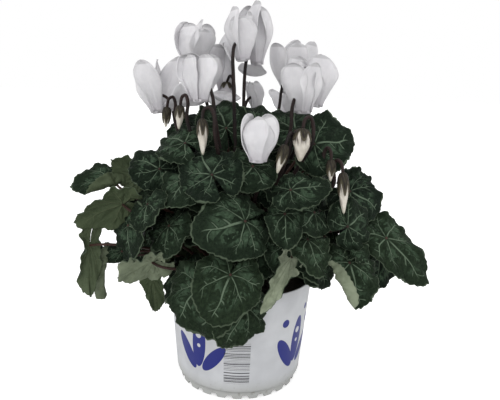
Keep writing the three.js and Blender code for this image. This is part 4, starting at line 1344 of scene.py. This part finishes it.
def make_stem_piece(name, curves, thick, thin, sides, material):
    bm = bmesh.new()
    for points in curves:
        add_tube(bm, points, np.linspace(thick, thin, len(points)), sides)
    finish_piece(name, bm, [material], ["crown"])


def make_stems(leaves, leaf_stalk, flower_stalk):
    tree, _ = node_points("crown")
    curves = [leaf_stem_points(leaf, tree) for leaf in leaves]
    make_stem_piece("leaf_stems", curves, LEAF_STEM * LEAF_STEM_SHARE, LEAF_STEM_TIP * LEAF_STEM_SHARE,
                    LEAF_STEM_SIDES, leaf_stalk)
    hooks = [bloom_hook(bloom) for bloom in BLOOMS] + [bud_hook(bud) for bud in BUDS]
    curves = [flower_stem_points(hook) for hook in hooks]
    make_stem_piece("flower_stems", curves, FLOWER_STEM, FLOWER_STEM_TIP, FLOWER_STEM_SIDES, flower_stalk)


# Flowers

def bloom_place(bloom, local):
    """Points of a flower, from its own axes: out over its stem, across, and up from the mouth."""
    up = unit(np.subtract(bloom["top"], bloom["mouth"]))
    side = level(math.radians(bloom["side"]))
    side = unit(side - up * side.dot(up))
    mouth = np.add(bloom["mouth"], bloom.get("shift", (0, 0, 0)))
    return mouth + np.asarray(local) @ np.array([side, np.cross(up, side), up])


def bloom_hook(bloom):
    tip = CUP_HEIGHT * bloom.get("scale", 1) + 0.6
    local = [(out, 0, up) for out, up in (*HOOK, (0, tip))]
    return bloom_place(dict(bloom, side=bloom.get("stem", bloom["side"])), local)


def petal_half(s, size):
    """Half the width of a petal at share s of its length."""
    widest = FINE_HALF_WIDTH * size
    rising = FINE_HALF_ROOT + (widest - FINE_HALF_ROOT) * np.clip(s / PETAL_WIDEST, 0, 1) ** 1.5
    t = np.clip((s - PETAL_WIDEST) / (1 - PETAL_WIDEST), 0, 1)
    round_end = widest * np.sqrt(1 - t ** 2.4)
    return np.where(s < PETAL_WIDEST, rising, round_end)


def petal_pose(bloom, index, k):
    """Lean, swing, twist and length factor of a petal."""
    return bloom.get("petals", {}).get(k, (
        bloom["lean"] + FINE_LEAN + 4 * jitter(index, 40 + k),
        bloom.get("swing", 7) * jitter(index, 70 + k),
        bloom["twist"] * (1 + 0.3 * jitter(index, 60 + k)),
        bloom.get("stretch", 1) * (1 + 0.06 * jitter(index, 50 + k)),
    ))


def petal_relief(bloom, index, k, s, t, half):
    """How far a petal stands out from a plain strip: its cupping, frill, ribs and middle crease."""
    frill = bloom.get("frill", 1.6) * t * t * np.sin(8 * s + 3 * t + 5 * jitter(index, 80 + k))
    frill = frill * smooth(0.15, 0.7, s)
    ribs = 0.15 * np.cos(11 * t + 2 * jitter(index, 90 + k)) * smooth(0, 0.25, s) * smooth(1, 0.7, s)
    crease = -0.6 * np.exp(-((t / 0.16) ** 2)) * smooth(0, 0.3, s) * smooth(1, 0.75, s)
    return -0.1 * half * t * t + frill + ribs + crease


def petal_points(bloom, index, k, s, t):
    """Points of a petal at share s of its length and t across, from -1 to 1."""
    lean, swing, twist, stretch = petal_pose(bloom, index, k)
    belly = 0 if lean > FALLEN_LEAN else bloom["belly"] * FINE_BELLY
    lean = math.radians(lean)
    rise = np.linalg.norm(np.subtract(bloom["top"], bloom["mouth"]))
    length = rise / math.cos(math.radians(bloom["lean"])) * stretch
    bulge = belly * np.sin(np.pi * s ** 1.3)
    root = LIP_RADIUS - (LIP_RADIUS - PETAL_ROOT_RADIUS) * smooth(0.5, 0, s)
    r = root + length * s * math.sin(lean) + bulge * math.cos(lean)
    h = length * s * math.cos(lean) - bulge * math.sin(lean)
    turn = lean + np.arctan(np.cos(np.pi * s) * np.pi * belly / rise)
    twist = math.radians(twist) * (0.4 + 0.6 * s)
    wavy = 1 + 0.05 * np.sin(9 * s + 4 * jitter(index, 65 + k) + 1.5 * np.sign(t)) * smooth(0.2, 0.7, s)
    half = petal_half(s, bloom.get("size", 1)) * wavy
    w = half * t
    cupped = petal_relief(bloom, index, k, s, t, half)
    nod = 3.5 * jitter(index, 95 + k) * smooth(0.55, 1, s) ** 2
    along = w * np.cos(twist) - cupped * np.sin(twist) + swing * s ** 2.2
    out = w * np.sin(twist) + cupped * np.cos(twist) + nod
    radial = r + out * np.cos(turn)
    height = h - out * np.sin(turn)
    a = STEM_SIDE + PETAL_SPAN * (k + 0.5) + math.radians(bloom.get("turn", 0))
    cos, sin = math.cos(a), math.sin(a)
    points = np.stack([radial * cos - along * sin, radial * sin + along * cos, height], axis=-1)
    return bloom.get("scale", 1) * points


def along_path(path, share):
    """Radius and height at a share of the way along a path of points."""
    share = share * (len(path) - 1)
    marks = np.arange(len(path))
    radii, heights = np.array(path, float).T
    return np.interp(share, marks, radii), np.interp(share, marks, heights)


def corolla_tube(bloom):
    def place(u, v):
        r, h = along_path(TUBE_PROFILE, v)
        return bloom_place(bloom, round_points(r, 2 * np.pi * u, h) * bloom.get("scale", 1))
    return place


def tube_map(u, v):
    """Map of the tube, which is coloured like the petals' roots."""
    return np.stack([u * 3 % 1, 0.1 * v], axis=1)


def petal_sheet(bloom, index, k):
    def place(u, v):
        s = 1 - (1 - v) ** 1.5
        sway = np.outer(s ** 1.5, (bloom.get("sway", 0), 0, 0))
        return bloom_place(bloom, petal_points(bloom, index, k, s, 2 * u - 1)) + sway
    return place


def calyx_lobes(bloom):
    """A collar with pointed lobes that follows a path outward and down."""
    def place(u, v):
        a = 2 * np.pi * u
        tongue = np.abs(np.cos(PETAL_COUNT * a / 2)) ** 1.4
        r, h = along_path(LOBE_PATH, v * (0.45 + 0.55 * tongue))
        return bloom_place(bloom, round_points(r, a + PETAL_SPAN / 2, h) * bloom.get("scale", 1))
    return place


def make_bloom(index, bloom, petal, calyx):
    nodes = [f"bloom_{index + 1}"]
    bm, layer = petal_bmesh()
    add_skin(bm, *TUBE_GRID, corolla_tube(bloom), layer, tube_map)
    for k in range(PETAL_COUNT):
        add_skin(bm, *PETAL_GRID, petal_sheet(bloom, index, k), layer)
    finish_piece(f"petals_{index + 1}", bm, [petal], nodes, PETAL_THICKNESS)
    bm, layer = petal_bmesh()
    add_skin(bm, *CALYX_GRID, calyx_lobes(bloom), layer)
    finish_piece(f"calyx_{index + 1}", bm, [calyx], nodes, CALYX_THICKNESS)


# Buds

def bud_axes(bud):
    top = np.array(bud["top"], float)
    axis = np.subtract(bud["tip"], bud["top"]).astype(float)
    length = np.linalg.norm(axis)
    axis /= length
    side = unit(np.cross(axis, (0.2, 1, 0.1)))
    return top, axis, side, np.cross(axis, side), length


def bud_hook(bud):
    top, axis, _, _, _ = bud_axes(bud)
    away = level(math.radians(bud.get("hook", bud["side"]))) * (0.75 if "hook" in bud else 1)
    return np.array([top - axis * up + away * out for up, out in BUD_HOOK])


def bud_place(bud, r, a, h):
    top, axis, side, across, _ = bud_axes(bud)
    return top + round_points(r, a, h) @ np.array([side, across, axis])


def bud_radius(bud, share):
    return bud["radius"] * bud.get("slim", 1) * np.interp(share, BUD_SHARES, BUD_RADII)


def folded_bud(bud):
    """The closed petals, which wind round each other in shallow folds."""
    def place(u, v):
        a = 2 * np.pi * u
        fold = 1 + 0.07 * np.cos(PETAL_COUNT * (a + 2.4 * v)) * smooth(0.05, 0.3, v)
        return bud_place(bud, bud_radius(bud, v) * fold, a, v * bud_axes(bud)[-1])
    return place


def bud_lobes(bud):
    """The calyx over the bud's upper end, with pointed lobes."""
    def place(u, v):
        a = 2 * np.pi * u
        tongue = np.abs(np.cos(PETAL_COUNT * a / 2)) ** 1.3
        share = v * (bud.get("cover", 0.14) + 0.32 * tongue)
        r = bud_radius(bud, share) + 0.35 + 0.3 * smooth(0, 0.1, share)
        return bud_place(bud, np.where(v == 0, 0, r), a, share * bud_axes(bud)[-1] - 0.5 * (1 - v))
    return place


def make_bud(index, bud, petal, calyx):
    nodes = [f"bud_{index + 1}"]
    bm, layer = petal_bmesh()
    add_skin(bm, *BUD_GRID, folded_bud(bud), layer)
    bmesh.ops.recalc_face_normals(bm, faces=bm.faces)
    finish_piece(f"bud_petals_{index + 1}", bm, [petal], nodes)
    bm, layer = petal_bmesh()
    add_skin(bm, *CALYX_GRID, bud_lobes(bud), layer)
    finish_piece(f"bud_calyx_{index + 1}", bm, [calyx], nodes, BUD_CALYX_THICKNESS)


# Pot

def wall_radius(z):
    t = (z - WALL_FOOT_HEIGHT) / (POT_HEIGHT - WALL_FOOT_HEIGHT)
    return WALL_FOOT_RADIUS + (RIM_RADIUS - WALL_FOOT_RADIUS) * t


def pot_profile():
    """Radius and height from the middle of the underside, out over the wall and back in."""
    inner = FOOT_RADIUS - FOOT_WALL
    bottom = [(0, FOOT_HEIGHT), (inner - 0.6, FOOT_HEIGHT), (inner, FOOT_HEIGHT - 0.6), (inner, NOTCH_CLEAR)]
    foot = [(inner, FOOT_ROUND), (inner + FOOT_ROUND, 0), (FOOT_RADIUS - FOOT_ROUND, 0)]
    foot += [(FOOT_RADIUS, FOOT_ROUND), (FOOT_RADIUS, NOTCH_CLEAR), (FOOT_RADIUS, FOOT_HEIGHT - FOOT_ROUND)]
    shoulder = [(FOOT_RADIUS + out, FOOT_HEIGHT + up) for out, up in SHOULDER]
    wall = [(wall_radius(z), z) for z in WALL_HEIGHTS]
    rim = [(RIM_RADIUS - 0.15, POT_HEIGHT), (RIM_RADIUS - WALL + 0.15, POT_HEIGHT)]
    inside = [(wall_radius(z) - WALL, z) for z in INSIDE_HEIGHTS]
    base = [(WALL_FOOT_RADIUS - 1, 10.6), (WALL_FOOT_RADIUS - 1.8, 8.6), (FLOOR_RADIUS, FLOOR_TOP)]
    return bottom + foot + shoulder + wall + rim + inside + base + [(0, FLOOR_TOP)]


def cut_notches(bm):
    """Lifts the foot ring's lower edge where a notch is."""
    for v in bm.verts:
        if v.co.z < NOTCH_CLEAR / 2:
            turn = math.atan2(v.co.y, v.co.x) * NOTCH_COUNT / (2 * math.pi)
            off = abs((turn % 1) - 0.5) * 2 * math.pi * FOOT_RADIUS / NOTCH_COUNT
            half = NOTCH_WIDTH / 2
            v.co.z += NOTCH_HEIGHT * float(smooth(half + NOTCH_SLOPE, half - NOTCH_SLOPE, off))


def make_pot(outside, inside):
    bm = turned(pot_profile(), POT_STEPS)
    cut_notches(bm)
    for face in bm.faces:
        middle = face.calc_center_median()
        radius = math.hypot(middle.x, middle.y)
        within = radius < wall_radius(middle.z) - WALL * 0.6 and middle.z > FOOT_HEIGHT + 0.3
        inward = face.normal.dot(Vector((-middle.x, -middle.y, 20))) > 0
        face.material_index = 1 if within and inward else 0
    piece = finish_piece("pot_shell", bm, [outside, inside], ["pot"])
    cut_drains(piece)
    piece.data.set_sharp_from_angle(angle=POT_SHARP)


def cut_drains(piece):
    bm = bmesh.new()
    for i in range(DRAIN_COUNT):
        turn = Matrix.Rotation(2 * math.pi * (i + 0.25) / DRAIN_COUNT, 4, "Z")
        place = Matrix.Translation((DRAIN_CIRCLE, 0, FOOT_HEIGHT + WALL / 2))
        bmesh.ops.create_cone(bm, cap_ends=True, segments=32, radius1=DRAIN_RADIUS, radius2=DRAIN_RADIUS,
                              depth=4 * WALL, matrix=turn @ place)
    cutter = new_object("drains", new_mesh("drains", bm))
    cut = piece.modifiers.new("drains", "BOOLEAN")
    cut.operation = "DIFFERENCE"
    cut.object = cutter
    bpy.context.view_layer.update()
    seen = piece.evaluated_get(bpy.context.evaluated_depsgraph_get())
    finished = bpy.data.meshes.new_from_object(seen)
    piece.modifiers.clear()
    piece.data = finished
    bpy.data.objects.remove(cutter)


# Soil

def make_soil(material):
    bottom = FLOOR_TOP + SOIL_GAP
    edge = wall_radius(SOIL_TOP - 2) - WALL - SOIL_GAP
    side = [(0, bottom), (FLOOR_RADIUS, bottom), (wall_radius(16) - WALL - 0.5, 16),
            (edge, SOIL_TOP - 3), (edge - 0.6, SOIL_TOP - 1)]
    top = [((edge - 1) * (1 - i / SOIL_RINGS), SOIL_TOP) for i in range(SOIL_RINGS)] + [(0, SOIL_TOP)]
    bm = turned(side + top, SOIL_STEPS)
    for v in bm.verts:
        if v.co.z > SOIL_TOP - 1.5:
            r = math.hypot(v.co.x, v.co.y)
            place = Vector((v.co.x, v.co.y, 0))
            lumps = sum(height * noise.noise(place / apart) for height, apart in SOIL_LUMPS)
            mound = SOIL_MOUND * math.exp(-(r / SOIL_MOUND_RADIUS) ** 2)
            v.co.z += lumps * float(smooth(edge + 0.5, edge - 3, r)) + mound
    finish_piece("peat", bm, [material], ["soil"])


def make_corm(material):
    profile = [(CORM_RADIUS * math.cos(a), CORM_CENTRE + CORM_HALF_HEIGHT * math.sin(a))
               for a in np.linspace(-math.pi / 2, math.pi / 2, CORM_RINGS)]
    profile[0] = (0, profile[0][1])
    profile[-1] = (0, profile[-1][1])
    bm = turned(profile, CORM_STEPS)
    for v in bm.verts:
        place = v.co / 7
        v.co *= 1 + 0.03 * noise.noise(place) + 0.012 * noise.noise(place * 4)
    finish_piece("corm", bm, [material], ["crown"])


# Stage

def make_floor():
    bm = bmesh.new()
    bmesh.ops.create_grid(bm, x_segments=8, y_segments=8, size=FLOOR_HALF_SIZE)
    mesh = new_mesh("floor", bm)
    material, tree, shader = new_material("pale_floor", 1, 0)
    shader["Base Color"].default_value = FLOOR_PALE
    shader["Emission Color"].default_value = WHITE_LIGHT
    seen = tree.nodes.new("ShaderNodeLightPath").outputs["Is Camera Ray"]
    feed(tree, shader["Emission Strength"], times(tree, seen, FLOOR_LIFT))
    mesh.materials.append(material)
    new_object("floor", mesh)


def make_soft_box(name, place, power):
    data = bpy.data.lights.new(name, "AREA")
    data.shape = "DISK"
    data.size = SOFT_BOX_SIZE
    data.energy = power
    lamp = new_object(name, data)
    lamp.location = place
    lamp.rotation_euler = (Vector(SOFT_BOX_TARGET) - Vector(place)).to_track_quat("-Z", "Y").to_euler()


def make_lights():
    for box in SOFT_BOXES:
        make_soft_box(*box)
    world = bpy.data.worlds.new("studio")
    world.use_nodes = True
    tree = world.node_tree
    background = tree.nodes["Background"].inputs
    background["Color"].default_value = WHITE_LIGHT
    seen = tree.nodes.new("ShaderNodeLightPath").outputs["Is Camera Ray"]
    feed(tree, background["Strength"], ramp(tree, seen, 0, 1, WORLD_LIGHT, 1))
    bpy.context.scene.world = world


def make_camera():
    cy, sy = math.cos(CAMERA_YAW), math.sin(CAMERA_YAW)
    cp, sp = math.cos(CAMERA_PITCH), math.sin(CAMERA_PITCH)
    cr, sr = math.cos(CAMERA_ROLL), math.sin(CAMERA_ROLL)
    ahead = Vector((cp * sy, cp * cy, -sp))
    up = Vector((sp * sy, sp * cy, cp))
    right = Vector((cy, -sy, 0))
    sides = Matrix((right * cr - up * sr, right * sr + up * cr, -ahead)).transposed()
    data = bpy.data.cameras.new("camera")
    data.lens = CAMERA_LENS
    data.clip_start = CAMERA_NEAREST
    camera = new_object("camera", data)
    camera.matrix_world = Matrix.Translation(Vector(CAMERA_PLACE) * MM) @ sides.to_4x4()
    bpy.context.scene.camera = camera


make_camera()
make_floor()
make_lights()
bpy.context.scene.view_settings.view_transform = "Standard"

mottle = make_mottle()
veins = make_veins()
flower_stalk = stalk_material("flower_stalk", *FLOWER_STALK, mottle)
leaf_stalk = stalk_material("leaf_stalk", *LEAF_STALK, mottle)
corm_skin = stalk_material("corm_skin", *CORM_SKIN, mottle)
calyx = calyx_material(mottle)
petal = petal_material(mottle)
closed_petal = bud_material(mottle)
leaf_sides = [leaf_top_material(veins, mottle), leaf_under_material(veins, mottle)]

leaves = [grown(i, leaf) for i, leaf in enumerate((*FRONT_LEAVES, *back_leaves()))]
make_leaves(leaves, leaf_sides)
added = added_leaves(leaves)
make_bunch("inner_leaves", added[:len(HIDDEN_LEAVES)], leaf_sides, [])
make_bunch("spare_leaves", added[len(HIDDEN_LEAVES):], leaf_sides, [])
make_stems([*leaves, *added], leaf_stalk, flower_stalk)
make_corm(corm_skin)
for index, bloom in enumerate(BLOOMS):
    make_bloom(index, bloom, petal, calyx)
for index, bud in enumerate(BUDS):
    make_bud(index, bud, closed_petal, calyx)
make_pot(pot_outside_material(mottle), pot_inside_material(mottle))
make_soil(peat_material(mottle))
